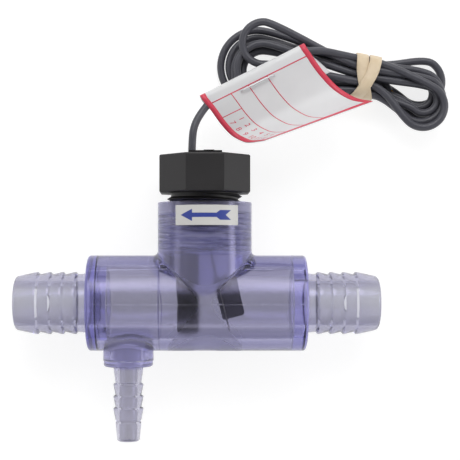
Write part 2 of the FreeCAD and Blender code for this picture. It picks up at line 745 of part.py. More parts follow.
def coil_frame(body):
    body.Placement.Rotation = FreeCAD.Rotation(Vector(0, 0, 1), -size("coil_tilt"))
    body.setExpression("Placement.Rotation.Angle", cells("-coil_tilt"))
    return body


def make_cable_lead():
    """The cable from the potting to the side of its hank, in straight runs and tangent arcs."""
    last = [size(text) for text in ("coil_left_across", "coil_left_along")]
    away = [CABLE_ROUTE[-1][axis] - last[axis] for axis in range(2)]
    reach = (size("coil_left_radius") + size("touch_gap")) / math.hypot(*away)
    end = (last[0] + reach * away[0], last[1] + reach * away[1], CABLE_ROUTE[-1][2])
    route = [("-cable_place", CABLE_END, "0")]
    route += [tuple("%.6f" % value for value in point) for point in [*CABLE_ROUTE, end]]
    return make_round_wire("cable_lead", route, "cable_diameter / 2")


def make_cable_coil():
    """The hank's outer shape: two lobes with a waist between them where the band is."""
    body = coil_frame(new_body("cable_coil", "coil_left_across", "coil_left_along", COIL_BASE))
    sketch = new_sketch(body, "coil_outline", "XY_Plane")
    along = size(WAIST_ALONG)
    out = size(WAIST_OUT)
    left_turn = math.atan2(out, along)
    right_turn = math.atan2(out, along - size("coil_span"))
    half = math.pi
    arcs = (
        (0, 0, "coil_left_radius", left_turn, 2 * half - left_turn),
        (along, -out, "coil_waist_radius", half - right_turn, half - left_turn),
        (size("coil_span"), 0, "coil_right_radius", -right_turn, right_turn),
        (along, out, "coil_waist_radius", half + left_turn, half + right_turn),
    )
    for across, up, radius, first, last in arcs:
        circle = Part.Circle(Vector(across, up, 0), Vector(0, 0, 1), size(radius))
        index = sketch.addGeometry(Part.ArcOfCircle(circle, first, last), False)
        constraint = sketch.addConstraint(Sketcher.Constraint("Radius", index, size(radius)))
        sketch.setExpression("Constraints[%d]" % constraint, cells(radius))
    for one, one_end, other, other_end in ((0, 2, 1, 2), (1, 1, 2, 1), (2, 2, 3, 2), (3, 1, 0, 1)):
        sketch.addConstraint(Sketcher.Constraint("Tangent", one, one_end, other, other_end))
    pin_down(sketch, 0, 3, "0", "0")
    pin_down(sketch, 2, 3, "coil_span", "0")
    raised(body, "Pad", "coil", sketch, "coil_height")
    rounded(body, "coil_edges", "coil_bevel", lambda edge: near(edge.BoundBox.ZLength, "0"),
            "Chamfer", "Size")
    return body


def make_rubber_band():
    body = coil_frame(new_body("rubber_band", "coil_left_across", "coil_left_along", COIL_BASE))
    reach = "(abs(band_place - %s) + band_width / 2)" % WAIST_ALONG
    half = "(%s - sqrt(coil_waist_radius ^ 2 - %s ^ 2) + band_gap)" % (WAIST_OUT, reach)
    grow = "(%s + band_thickness)" % half
    low = "-band_gap"
    high = "coil_height + band_gap"
    corners = [("-" + grow, low + " - band_thickness"), (grow, low + " - band_thickness")]
    corners += [(grow, high + " + band_thickness"), ("-" + grow, high + " + band_thickness")]
    outer = outline(body, "outer_outline", "YZ_Plane", corners, "band_place")
    raised(body, "Pad", "band", outer, "band_width", middle=True)
    rounded(body, "band_corners", "band_round", lambda edge: near(edge.BoundBox.XLength, "band_width"))
    corners = [("-" + half, low), (half, low), (half, high), ("-" + half, high)]
    inner = outline(body, "inner_outline", "YZ_Plane", corners, "band_place")
    raised(body, "Pocket", "hank_space", inner, "band_width", middle=True)
    return body


def turned_by(text):
    """A level direction, turned from the run's axis by an angle of the sheet in degrees."""
    angle = math.radians(size(text))
    return Vector(math.cos(angle), math.sin(angle), 0)


TAG_BACK_Z = COIL_TOP + " + tag_lift + tag_thickness / 2"


def make_rating_tag():
    """A stiff sheet folded over the cable: a short back flap, the fold, and the front flap."""
    fall = turned_by("tag_fall_turn")
    loop = size("tag_loop_radius")
    start = Vector(size("tag_across"), size("tag_along"), size(TAG_BACK_Z))
    curl = math.radians(size("tag_curl"))
    radius = size("tag_curl_radius")
    flat = size("tag_flat")

    def spot(along, up):
        return start + fall * along + Vector(0, 0, up)

    def curled(angle):
        return spot(flat + radius * math.sin(angle), 2 * loop - radius * (1 - math.cos(angle)))

    path = Part.Wire([
        Part.LineSegment(spot(size("tag_back"), 0), spot(0, 0)).toShape(),
        Part.Arc(spot(0, 0), spot(-loop, loop), spot(0, 2 * loop)).toShape(),
        Part.LineSegment(spot(0, 2 * loop), spot(flat, 2 * loop)).toShape(),
        Part.Arc(spot(flat, 2 * loop), curled(curl / 2), curled(curl)).toShape(),
    ])
    sheet_face = path.extrude(turned_by("tag_fold_turn") * size("tag_width"))
    piece = doc.addObject("Part::Feature", "rating_tag")
    piece.Shape = sheet_face.makeOffsetShape(size("tag_thickness"), 0.01, fill=True)
    place(piece)
    return piece


def make_tag_staple():
    fold = turned_by("tag_fold_turn")
    down = Vector(fold.y, -fold.x, 0)
    middle = Vector(size("tag_across"), size("tag_along"), size(TAG_BACK_Z))
    middle += fold * size("staple_along") + down * size("staple_down")
    crown = Vector(0, 0, 2 * size("tag_loop_radius") + size("tag_thickness") + size("staple_wire") / 2)
    leg = Vector(0, 0, size("staple_leg"))
    half = fold * (size("staple_width") / 2)
    points = [middle + crown - half - leg, middle + crown - half, middle + crown + half]
    points.append(middle + crown + half - leg)
    route = [tuple("%.6f" % value for value in point) for point in points]
    return make_round_wire("tag_staple", route, "staple_wire / 2", "staple_bend")


def make_flow_label():
    """A sticker bent round the hub, facing away from the surface that the part lies on."""
    first = -90 + size("label_middle") - size("label_turn") / 2
    turn = ALONG_Y * FreeCAD.Rotation(Vector(0, 0, 1), first)
    outer = rod("label_outside", "hub_diameter / 2 + label_thickness", "label_height",
                "0", "label_bottom", "0", turn)
    outer.setExpression("Angle", cells("label_turn"))
    inner = rod("label_inside", "hub_diameter / 2", "label_height", "0", "label_bottom", "0")
    return joined("flow_arrow_label", "Cut", outer, inner)


def make_hinge_pin():
    return rod("hinge_pin", "pin_radius", "pin_length", HINGE_X, "hinge_up", "-pin_length / 2",
               FreeCAD.Rotation())


pieces = [
    make_tee_body(),
    make_outlet_barb(),
    make_bypass_barb(),
    make_switch_plug(),
    *make_plug_contents(),
    make_hinge_pin(),
    make_paddle_leaf(),
    make_magnet_housing(),
    make_leaf_clamp(),
    make_paddle_magnet(),
    make_cable_lead(),
    make_cable_coil(),
    make_rubber_band(),
    make_rating_tag(),
    make_tag_staple(),
    make_flow_label(),
]
doc.recompute()

for thing in doc.Objects:
    if "Invalid" in thing.State or "Error" in thing.State:
        raise ValueError("%s could not be made: %s" % (thing.Name, thing.State))
for piece in pieces:
    if piece.Shape.isNull() or not piece.Shape.isValid():
        raise ValueError("%s has no valid shape" % piece.Label)

os.makedirs("parts", exist_ok=True)
for piece in pieces:
    piece.Shape.exportStep("parts/%s.step" % piece.Label)
    print("%-20s %9.1f mm3, %d solid(s)" % (piece.Label, piece.Shape.Volume, len(piece.Shape.Solids)))
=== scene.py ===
# %% [markdown]
# # A paddle flow switch, dressed in Blender
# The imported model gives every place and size. What follows gives each piece the finish of its
# real material, cuts the pipe threads, and lays out the cable, its rubber band and its tag.

import math

import bmesh
import bpy
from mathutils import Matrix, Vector, noise


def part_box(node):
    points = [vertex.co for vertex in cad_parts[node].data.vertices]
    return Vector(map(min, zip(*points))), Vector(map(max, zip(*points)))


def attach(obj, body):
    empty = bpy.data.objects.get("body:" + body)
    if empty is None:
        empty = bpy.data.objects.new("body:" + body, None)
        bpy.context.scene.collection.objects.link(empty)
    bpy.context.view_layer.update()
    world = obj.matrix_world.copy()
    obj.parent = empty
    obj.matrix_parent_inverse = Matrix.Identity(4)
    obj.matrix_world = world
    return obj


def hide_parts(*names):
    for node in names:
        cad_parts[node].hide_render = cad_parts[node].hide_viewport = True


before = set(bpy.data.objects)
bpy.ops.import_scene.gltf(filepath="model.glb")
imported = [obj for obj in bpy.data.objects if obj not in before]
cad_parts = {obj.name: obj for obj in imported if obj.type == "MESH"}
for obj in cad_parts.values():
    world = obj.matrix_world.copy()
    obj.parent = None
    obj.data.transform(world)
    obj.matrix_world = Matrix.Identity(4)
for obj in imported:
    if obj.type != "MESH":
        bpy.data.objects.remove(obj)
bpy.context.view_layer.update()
MM = 0.001

# %% [markdown]
# ## Reference lines
# The run lies along X, and the hub and the bypass boss lie along Y. Their axes could be typed
# in again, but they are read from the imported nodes, so that every new piece sits where the
# solids say.

# %% Axes of the run, the hub and the boss
def middle(node):
    """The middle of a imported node's box."""
    low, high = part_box(node)
    return (low + high) / 2


RUN = middle("outlet_barb")
HUB = middle("switch_plug")
BOSS = middle("bypass_barb")
# The hub ends 1.4 mm above its label, and the plug's head is 13.1 mm tall.
HUB_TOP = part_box("flow_arrow_label")[1].y + 1.4 * MM
HEAD_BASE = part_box("switch_plug")[1].y - 13.1 * MM
# The boss's sides meet the run this far from the run's axis.
BOSS_ROOT = RUN.y - 14.5 * MM
# In mm along the run: its left end, where a barb's flange is cemented on, and its socket's end.
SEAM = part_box("tee_body")[0].x / MM
SOCKET_END = -13.05
print("run axis y, z", round(RUN.y / MM, 2), round(RUN.z / MM, 2), "hub x", round(HUB.x / MM, 2))
print("hub top", round(HUB_TOP / MM, 2), "head base", round(HEAD_BASE / MM, 2))

# %% [markdown]
# ## Camera
# The part is seen from straight above, from about 0.4 m, so the near sides of round pieces
# bulge a little. Turning the camera would frame the cable too, but the tee would no longer be
# square in the view. A small shift of the lens frames both and keeps it square.

# %% Camera
lens = bpy.data.cameras.new("overhead")
lens.sensor_width = 36.0
lens.lens = 87.2
lens.shift_x = 0.0652
lens.shift_y = 0.0696
lens.clip_start = 0.01
camera = bpy.data.objects.new("overhead", lens)
camera.location = (1.10 * MM, 11.675 * MM, 406.7 * MM)
bpy.context.scene.collection.objects.link(camera)
bpy.context.scene.camera = camera
print("camera height in mm", round(camera.location.z / MM, 1))

# %% [markdown]
# ## Small tools
# A hex colour says what a screen shows, and a render works with linear light, so one function
# turns the first into the second. One feeds values and links to a node, one adds a node, and
# one starts a material. A texture's scale is the number of its cells in a metre, so `per` works
# it out from the real size of the pattern in mm.

# %% Tools for colours and shader nodes
def linear(code):
    """An sRGB hex colour as linear light, with full alpha."""
    parts = [int(code[i:i + 2], 16) / 255 for i in (1, 3, 5)]
    return [p / 12.92 if p <= 0.04045 else ((p + 0.055) / 1.055) ** 2.4 for p in parts] + [1.0]


def per(size_mm):
    """The texture scale of a pattern whose cells are this large."""
    return 1.0 / (size_mm * MM)


def feed(mat, node, inputs):
    """Set or link a node's inputs. A node as a value stands for its first output."""
    for key, value in inputs.items():
        if isinstance(value, bpy.types.Node):
            value = value.outputs[0]
        if isinstance(value, bpy.types.NodeSocket):
            mat.node_tree.links.new(value, node.inputs[key])
        else:
            node.inputs[key].default_value = value


def add(mat, kind, inputs=None, stops=None, **settings):
    """Add one shader node with its inputs, its settings and the stops of its colour ramp."""
    made = mat.node_tree.nodes.new("ShaderNode" + kind)
    for key, value in settings.items():
        setattr(made, key, value)
    for number, (at, colour) in enumerate(stops or ()):
        ends = {0: 0, len(stops) - 1: -1}
        if number in ends:
            point = made.color_ramp.elements[ends[number]]
            point.position = at
        else:
            point = made.color_ramp.elements.new(at)
        point.color = linear(colour) if isinstance(colour, str) else (colour, colour, colour, 1.0)
    feed(mat, made, inputs or {})
    return made


def finish(name, **sockets):
    """A new material, its shader with plain settings, and the place on the piece in metres."""
    mat = bpy.data.materials.new(name)
    mat.use_nodes = True
    shader = mat.node_tree.nodes["Principled BSDF"]
    feed(mat, shader, {key.replace("_", " "): value for key, value in sockets.items()})
    return mat, shader, add(mat, "TexCoord").outputs["Object"]


print("mid grey as linear light", round(linear("#808080")[0], 3))

# %% [markdown]
# ## Tools for meshes
# Each new piece is made from points and faces in the model's own frame, in metres. Blender can
# turn a mesh's normals outwards by itself once it is closed. A piece then rides on one of the
# two bodies, the switch or its paddle, and moves with it.

# %% Tools for meshes
def into_scene(thing):
    """Put an object into the scene."""
    bpy.context.scene.collection.objects.link(thing)
    return thing


def outward_mesh(name, verts, faces):
    """A mesh whose normals point outwards."""
    mesh = bpy.data.meshes.new(name)
    mesh.from_pydata([tuple(v) for v in verts], [], faces)
    mesh.validate()
    work = bmesh.new()
    work.from_mesh(mesh)
    bmesh.ops.recalc_face_normals(work, faces=work.faces)
    work.to_mesh(mesh)
    work.free()
    return mesh


def piece(name, verts, faces, mat, smooth=True, body="switch", slot=None):
    """A mesh piece that rides on a body."""
    mesh = outward_mesh(name, verts, faces)
    for face in mesh.polygons:
        face.use_smooth = smooth
    mesh.materials.append(mat)
    made = into_scene(bpy.data.objects.new(name, mesh))
    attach(made, body)
    return made


def ring_faces(rings, corners, closed=True):
    """Quads that join each ring of points to the next, and the last to the first if closed."""
    faces = []
    for i in range(rings if closed else rings - 1):
        j = (i + 1) % rings
        for k in range(corners):
            m = (k + 1) % corners
            faces.append((i * corners + k, i * corners + m, j * corners + m, j * corners + k))
    return faces


def as_one(parts):
    """Several sets of points and faces as one."""
    verts, faces = [], []
    for more, shapes in parts:
        faces += [tuple(i + len(verts) for i in shape) for shape in shapes]
        verts += more
    return verts, faces


print("a square tube of three rings has", len(ring_faces(3, 4, closed=False)), "sides")

# %% [markdown]
# ## Clear violet PVC, injection moulded
# The tee and its barbs are clear PVC, with a violet tint that stops it from looking yellow. The
# tint lies in the depth of the plastic, so thick rims go deep violet while thin barbs stay
# nearly clear. A tinted volume alone could give that, if a real bench could be seen through it.
# Over this plain floor the volume is kept weak, and zones of the surface carry the rest. Each
# zone is a few limits of place in mm, which a loop turns into masks. A little haze in a zone
# stands for light that is mirrored again and again in a junction, which a render cuts short.

# %% Zones of the plastic
# A limit is a measure of place, its low end, its high end and the softness of both edges.
# Where the low end is above the high end, the limit is a gap, and holds outside it.
BODY = ("off_x", -40.0, 38.0, 1.5)
BORE = ("from_hub", 5.0, 13.0, 0.3)
FLANK = (("off_y", 13.0, 20.0, 0.8), BODY, ("from_run", 16.4, 18.0, 0.1))
THREADED = (BORE, ("y", 14.0, HUB_TOP / MM - 3.6, 0.3))
LIP = (BORE, ("y", HUB_TOP / MM - 3.5, HUB_TOP / MM - 0.3, 0.2))
# The gaps leave out the run's own two skins, where they cross the hub's root.
HUB_ROOT = (("from_hub", 9.5, 19.0, 0.5), ("y", 2.0, 16.5, 1.0),
            ("from_run", 12.68, 12.45, 0.05), ("from_run", 16.78, 16.55, 0.05))
OVER_BOSS = (("x", BOSS.x / MM - 8.0, BOSS.x / MM + 8.0, 2.0), ("run_y", -18.6, -10.8, 2.0),
             ("from_run", 16.4, 17.5, 0.1))
# Each row: name, tint, haze, strength, limits. A word as a tint or a strength is a pattern.
ZONES = (
    ("flank", "#9d9bb2", 0, 1, FLANK),
    # Painted light: the flank on the hub's side, where the key light stands, is made paler than the other
    # flank.
    ("painted light on upper flank", "#c4c2d2", 0, 1, (*FLANK, ("run_y", 12.0, 20.0, 0.8))),
    ("brink", "#6b698e", 0, 1, (*FLANK, ("off_y", 15.6, 20.0, 0.4))),
    # Painted shade: the barbs are made darker towards their sides, away from the run's axis.
    ("barbs", "#cccbd6", 0, 1, (("off_x", 38.5, 90.0, 0.3), ("off_y", 6.0, 20.0, 1.0))),
    # Painted shade: the run's lower half, towards the boss, is darker.
    ("painted shade on low side", "#bdbccb", 0, 0.4, (("run_y", -16.8, -3.0, 3.5),)),
    ("end wall", "#eceaff", 0.1, 1, (("x", 32.9, 38.3, 0.1), ("from_run", 7.5, 16.3, 0.1))),
    ("hub root", "#c2c0de", 0.15, 1, HUB_ROOT),
    ("boss", "#cfccf2", 0.3, 1,
     (("from_boss", -9.0, 9.3, 0.5), ("y", -25.2, BOSS_ROOT / MM + 3.0, 0.8))),
    ("over the boss", "#c4c1ee", 0.35, 1, OVER_BOSS),
    ("barb crests", None, 0.2, 1, (("off_x", 41.0, 90.0, 0.3), ("from_run", 9.2, 12.0, 0.2))),
    ("shoulder", "#eeeeff", 0.5, 1, (("x", 32.6, 33.3, 0.12), ("from_run", 10.0, 13.0, 0.2))),
    ("cemented joint", "bubbles", 0.5, 1,
     (("x", SEAM - 3.6, SEAM + 0.2, 0.1), ("from_run", 8.2, 16.3, 0.15))),
    ("flange", "#9a97d2", 0.35, 1,
     (("x", SEAM - 3.6, SEAM - 0.1, 0.1), ("from_run", 8.2, 17.0, 0.15))),
    ("spigot", "#ebeaf4", 0, 1,
     (("x", SEAM + 0.3, SEAM + 3.9, 0.1), ("from_run", 5.0, 13.5, 0.05))),
    ("end face", "#c9c6f0", 0.2, 1, (("x", 37.0, 38.4, 0.1), ("from_run", 10.0, 17.0, 0.2))),
    ("knit line", None, 0.3, "faint", (("off_y", -1.0, 0.07, 0.04), BODY)),
    ("socket ring", "#6f6ca6", 0.3, 1,
     (("x", SOCKET_END - 0.15, SOCKET_END + 0.15, 0.1), ("from_run", 11.0, 14.0, 0.2))),
    ("paste", "paste", 0, 1, THREADED),
    ("paste that hides", None, 1.0, "cover", THREADED),
    ("lip", "#d9d9e8", 0.55, 1, LIP),
)
print("zones", len(ZONES), "of which hazy", sum(1 for zone in ZONES if zone[2]))


# %% Measures of place and masks
def measures(mat, where):
    """Along x and y, off the run's middle, and away from the axes of the three pipes."""
    along = add(mat, "SeparateXYZ", {"Vector": where}).outputs
    at = {"x": along["X"], "y": along["Y"]}
    for name, centre, keep in (("hub", (HUB.x, 0, HUB.z), (1, 0, 1)),
                               ("run", (0, RUN.y, RUN.z), (0, 1, 1)),
                               ("boss", (BOSS.x, 0, BOSS.z), (1, 0, 1))):
        at[name + "_off"] = add(mat, "VectorMath", {0: where, 1: centre}, operation="SUBTRACT")
        flat = add(mat, "VectorMath", {0: at[name + "_off"], 1: keep}, operation="MULTIPLY")
        at["from_" + name] = add(mat, "VectorMath", {0: flat}, operation="LENGTH").outputs["Value"]
    at["run_y"] = add(mat, "SeparateXYZ", {"Vector": at["run_off"]}).outputs["Y"]
    at["off_x"] = add(mat, "Math", {0: at["x"]}, operation="ABSOLUTE")
    at["off_y"] = add(mat, "Math", {0: at["run_y"]}, operation="ABSOLUTE")
    return at


def mask_of(mat, at, limits):
    """1 where all the limits hold and 0 elsewhere, with soft edges."""
    mask = 1.0
    for name, low, high, edge in limits:
        up = add(mat, "MapRange", {"Value": at[name], "From Min": (low - edge) * MM,
                                   "From Max": (low + edge) * MM})
        down = add(mat, "MapRange", {"Value": at[name], "From Min": (high + edge) * MM,
                                     "From Max": (high - edge) * MM})
        how = "MULTIPLY" if low < high else "MAXIMUM"
        holds = add(mat, "Math", {0: up, 1: down}, operation=how)
        mask = add(mat, "Math", {0: mask, 1: holds}, operation="MULTIPLY")
    return mask


print("limits in all the zones", sum(len(zone[-1]) for zone in ZONES))

# %% [markdown]
# The patterns are what breaks up the plastic: small bubbles in the cement, a knit line that
# comes and goes where two flows of melt met, and sealing paste in the threads. The plug's last
# turn smears the paste round the hub, so its noise is stretched: long round the axis, short
# along it. That leaves pale streaks with dark ones between them.

# %% Patterns and the finish of the PVC
def pvc_patterns(mat, where, at):
    """Bubbles, the knit line's breaks, and the paste's colour and cover."""
    cells = add(mat, "TexVoronoi", {"Vector": where, "Scale": per(1.111), "Randomness": 1.0})
    broken = add(mat, "TexNoise", {"Vector": where, "Scale": per(2.381)})
    drawn = add(mat, "Mapping", {"Vector": at["hub_off"],
                                 "Scale": (per(16.67), per(1.786), per(16.67))})
    smear = add(mat, "TexNoise", {"Vector": drawn, "Scale": 1.0, "Detail": 4.0})
    ramps = {
        "bubbles": (cells, ((0.1, "#ffffff"), (0.22, "#b9b6e6"))),
        "faint": (broken, ((0.4, 0.15), (0.65, 1.0))),
        "cover": (smear, ((0.38, 0.3), (0.6, 0.95))),
        "paste": (smear, ((0.36, "#66648a"), (0.5, "#b4b4e0"), (0.66, "#eeeeff"))),
    }
    return {name: add(mat, "ValToRGB", {"Fac": source}, stops) for name, (source, stops) in ramps.items()}


def moulded_violet_pvc():
    """Clear moulded PVC: glossy, with faint waves and a little haze from the cold steel."""
    mat, shader, where = finish("moulded_violet_pvc", IOR=1.54, Specular_Tint=linear("#e2deff"))
    at = measures(mat, where)
    patterns = pvc_patterns(mat, where, at)
    # The body's walls are thicker, and so deeper in tint, than the barbs'.
    colour = add(mat, "ValToRGB", {"Fac": mask_of(mat, at, (BODY,))},
                 stops=((0.0, "#dedee3"), (1.0, "#cfced6")))
    # What scatters light lets less of it straight through, and even the clearest plastic some.
    clear = 0.975
    masks = {}
    for name, tint, haze, strength, limits in ZONES:
        mask = add(mat, "Math", {0: mask_of(mat, at, limits), 1: patterns.get(strength, strength)},
                   operation="MULTIPLY")
        masks[name] = mask
        if tint:
            over = patterns.get(tint) or linear(tint)
            colour = add(mat, "MixRGB", {"Fac": mask, "Color1": colour, "Color2": over})
        if haze:
            left = add(mat, "MapRange", {"Value": mask, "To Min": 1.0, "To Max": 1.0 - haze})
            clear = add(mat, "Math", {0: clear, 1: left}, operation="MULTIPLY")
    mist = add(mat, "TexNoise", {"Vector": where, "Scale": per(6.25), "Detail": 3.0})
    rough = add(mat, "ValToRGB", {"Fac": mist}, stops=((0.0, 0.035), (1.0, 0.075)))
    # The threaded bore is cut and smeared, and so a good deal duller.
    dull = add(mat, "Math", {0: mask_of(mat, at, (BORE,)), 1: 0.25, 2: rough},
               operation="MULTIPLY_ADD")
    waves = add(mat, "TexNoise", {"Vector": where, "Scale": per(5.263), "Detail": 2.0})
    flow = add(mat, "Bump", {"Height": waves, "Distance": 0.05 * MM})
    knit = add(mat, "Bump", {"Height": masks["knit line"], "Distance": 0.05 * MM, "Normal": flow})
    feed(mat, shader, {"Base Color": colour, "Transmission Weight": clear, "Roughness": dull,
                       "Normal": knit})
    tint = add(mat, "VolumeAbsorption", {"Color": linear("#3000f1"), "Density": 26.0})
    feed(mat, mat.node_tree.nodes["Material Output"], {"Volume": tint})
    return mat


VIOLET_PVC = moulded_violet_pvc()
print("nodes in the PVC", len(VIOLET_PVC.node_tree.nodes))

# %% [markdown]
# ## Dull mouldings
# The plug is moulded from black plastic in a grained mould. That gives a dull black with a fine
# grain, and handling leaves paler rubs on it. One noise sets both the tone and the roughness,
# because a rub is paler and duller in the same place. The housing and the clamp are the same
# plastic, but tinted walls take some of their light on its way in and again on its way out, so
# they start from a paler grey. The magnets are a sintered, matt ferrite.

# %% Dull mouldings and ferrite
def dull_moulding(name, pale, dark, rough_low, rough_high):
    """A grained dull surface with slow patches of rubbing."""
    mat, shader, where = finish(name)
    patches = add(mat, "TexNoise", {"Vector": where, "Scale": per(8.333), "Detail": 6.0})
    colour = add(mat, "ValToRGB", {"Fac": patches}, stops=((0.0, dark), (1.0, pale)))
    rough = add(mat, "ValToRGB", {"Fac": patches}, stops=((0.0, rough_low), (1.0, rough_high)))
    grain = add(mat, "TexNoise", {"Vector": where, "Scale": per(0.3846), "Detail": 2.0})
    bump = add(mat, "Bump", {"Height": grain, "Distance": 0.03 * MM})
    feed(mat, shader, {"Base Color": colour, "Roughness": rough, "Normal": bump})
    return mat


PLUG_BLACK = dull_moulding("moulded_black_plug", "#242224", "#181618", 0.42, 0.55)
HOUSING_BLACK = dull_moulding("moulded_black_housing", "#5a5763", "#4a4752", 0.38, 0.5)
MAGNET_GREY = dull_moulding("sintered_ferrite", "#4a4848", "#2f2d2d", 0.5, 0.7)
print("dull mouldings", [mat.name for mat in (PLUG_BLACK, HOUSING_BLACK, MAGNET_GREY)])

# %% [markdown]
# ## Poured epoxy and glass
# The potting is a black epoxy that was poured and levelled itself: glossy, with slow swells
# where it set. The reed's capsule is a faintly green soft glass, fused shut and quite smooth,
# so it needs no relief at all, only a little change of tone.

# %% Poured epoxy and glass
def poured_epoxy():
    """Glossy black with slow swells."""
    mat, shader, where = finish("poured_black_epoxy", Roughness=0.24, IOR=1.55)
    swell = add(mat, "TexNoise", {"Vector": where, "Scale": per(3.846), "Detail": 2.0})
    tone = add(mat, "ValToRGB", {"Fac": swell}, stops=((0.0, "#151315"), (1.0, "#232123")))
    bump = add(mat, "Bump", {"Height": swell, "Distance": 0.12 * MM})
    feed(mat, shader, {"Base Color": tone, "Normal": bump})
    return mat


def capsule_glass():
    """Clear and smooth, with a breath of green."""
    mat, shader, where = finish("capsule_glass", Transmission_Weight=1.0, IOR=1.52, Roughness=0.0)
    swirl = add(mat, "TexNoise", {"Vector": where, "Scale": per(2.0)})
    tone = add(mat, "ValToRGB", {"Fac": swirl}, stops=((0.0, "#e4efe6"), (1.0, "#f4faf5")))
    feed(mat, shader, {"Base Color": tone})
    return mat


EPOXY = poured_epoxy()
GLASS = capsule_glass()
print("poured and fused", EPOXY.name, GLASS.name)

# %% [markdown]
# ## Drawn and rolled metals
# The leaf and its pin are stainless steel, the reeds are drawn nickel-iron, the staple is
# galvanised wire and the cable's cores are copper. All were pulled or rolled one way,
# which leaves fine lines along the metal. A noise that is stretched along one axis draws such
# lines. On the staple and the cores they would be too fine to show, so theirs is even.

# %% Drawn and rolled metals
def drawn_metal(name, pale, dark, rough, along):
    """Fine lines along the way the metal was pulled."""
    mat, shader, where = finish(name, Metallic=1.0, Roughness=rough)
    stretch = add(mat, "Mapping", {"Vector": where, "Scale": along})
    lines = add(mat, "TexNoise", {"Vector": stretch, "Scale": per(1.111), "Detail": 3.0})
    tone = add(mat, "ValToRGB", {"Fac": lines}, stops=((0.0, dark), (1.0, pale)))
    bump = add(mat, "Bump", {"Height": lines, "Distance": 0.004 * MM})
    feed(mat, shader, {"Base Color": tone, "Normal": bump})
    return mat


LONG_WAY = (1.0, 0.05, 1.0)
STAINLESS = drawn_metal("rolled_stainless", "#d4d2ce", "#a9a7a4", 0.3, LONG_WAY)
NICKEL_IRON = drawn_metal("drawn_nickel_iron", "#b7b2a6", "#8f8a80", 0.35, LONG_WAY)
STAPLE_WIRE = drawn_metal("drawn_galvanised_staple", "#e2e2e4", "#c6c7ca", 0.42, (0.1, 0.1, 0.1))
COPPER = drawn_metal("bare_drawn_copper", "#d3a45a", "#9b6c2c", 0.35, (1.0, 1.0, 1.0))
print("metals", [mat.name for mat in (STAINLESS, NICKEL_IRON, STAPLE_WIRE, COPPER)])

# %% [markdown]
# ## Jackets, films and inks
# The cable's jacket is extruded soft PVC, the band is cut latex, and the tag and the label are
# plastic film with ink on them. All have a soft gloss and a texture that is finer than a
# millimetre. One function makes them, with the real grain in mm, and the latex gets a little
# sheen from the powder on it. Grains under 0.2 mm would not show, so none is finer than that.

# %% Jackets, films and inks
def soft_skin(name, pale, dark, rough, grain_mm, depth_mm, sheen=0.0):
    """A flexible skin: slow patches of tone, and a relief of the grain's size."""
    mat, shader, where = finish(name, Roughness=rough, Sheen_Weight=sheen)
    patches = add(mat, "TexNoise", {"Vector": where, "Scale": per(14 * grain_mm), "Detail": 5.0})
    colour = add(mat, "ValToRGB", {"Fac": patches}, stops=((0.0, dark), (1.0, pale)))
    fine = add(mat, "TexNoise", {"Vector": where, "Scale": per(grain_mm), "Detail": 3.0})
    bump = add(mat, "Bump", {"Height": fine, "Distance": depth_mm * MM})
    feed(mat, shader, {"Base Color": colour, "Normal": bump})
    return mat


JACKET = soft_skin("extruded_grey_jacket", "#4b4b53", "#3f3f47", 0.4, 0.35, 0.01)
CORE = soft_skin("extruded_core_insulation", "#4a2222", "#3c1a1a", 0.45, 0.2, 0.005)
LATEX = soft_skin("cut_latex_band", "#e6d6bd", "#cdb692", 0.55, 0.25, 0.02, 0.15)
TAG_FILM = soft_skin("printed_tag_film", "#e0e0e1", "#d6d6d8", 0.42, 0.6, 0.006)
LABEL_FILM = soft_skin("label_film", "#d3d2d0", "#cac9c6", 0.38, 0.5, 0.006)
TAG_RED = soft_skin("tag_red_ink", "#d9445a", "#cf3a50", 0.4, 0.3, 0.003)
LABEL_BLUE = soft_skin("label_blue_ink", "#36479a", "#2f3e8c", 0.4, 0.3, 0.003)
print("materials", len(bpy.data.materials))

# %% [markdown]
# ## Cable
# A two-core lead, 2.7 mm thick. It leaves the potting along the hub's axis, bends over towards
# the tag, runs inside the tag's fold, and then makes six turns of a loose hank that the rubber
# band ties. The turns differ in size, lie in four layers, and fan out at both ends. A spiral
# would look wound by a machine, so each turn is given its own two ends, and a loop over the
# turns makes one route of them.

# %% The hank's own axes
CABLE = 2.7
# The end turns are this large, from their middles to the edge of the hank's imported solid.
LEFT_END, RIGHT_END = 16.2 * MM, 12.6 * MM
low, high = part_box("cable_coil")
LEFT = Vector((low.x + LEFT_END, high.y - LEFT_END, 0))
RIGHT = Vector((high.x - RIGHT_END, low.y + RIGHT_END, 0))
ALONG = (RIGHT - LEFT).normalized()
ACROSS = Vector((-ALONG.y, ALONG.x, 0))
BAND_AT = 36.6
print("hank from", LEFT.to_tuple(4), "to", RIGHT.to_tuple(4))


def in_hank(along, across, height):
    """A point in metres from its place along and across the hank, in mm."""
    return LEFT + ALONG * along * MM + ACROSS * across * MM + Vector((0, 0, height * MM))


# %% The turns
# Each turn is (reach, upper edge, lower edge, height) at the right end, then at the left end,
# in mm from that end's middle.
TURNS = (
    ((9.8, 2.2, 13.1, 11.0), (7.6, 14.0, 1.2, 9.6)),
    ((9.8, 5.2, 10.8, 8.1), (9.4, 6.6, 12.0, 8.2)),
    ((7.8, 2.4, 7.6, 8.1), (10.4, 7.2, 13.2, 5.5)),
    ((9.6, 7.8, 8.2, 5.4), (7.2, 4.4, 10.2, 5.5)),
    ((6.6, 4.9, 5.3, 5.4), (15.2, 12.4, 14.2, 2.7)),
    ((10.6, 12.8, 4.0, 2.7), (12.2, 9.6, 11.2, 2.7)),
)
# Under the band each strand has its own place: (across, height).
UPPER = ((7.6, 9.0), (4.7, 8.9), (2.0, 8.1), (7.4, 5.4), (4.6, 5.4), (7.6, 2.7), (4.8, 2.7))
LOWER = ((-0.7, 9.8), (-3.6, 8.1), (-3.6, 5.4), (-0.9, 5.7), (-0.9, 2.9), (1.8, 2.7))
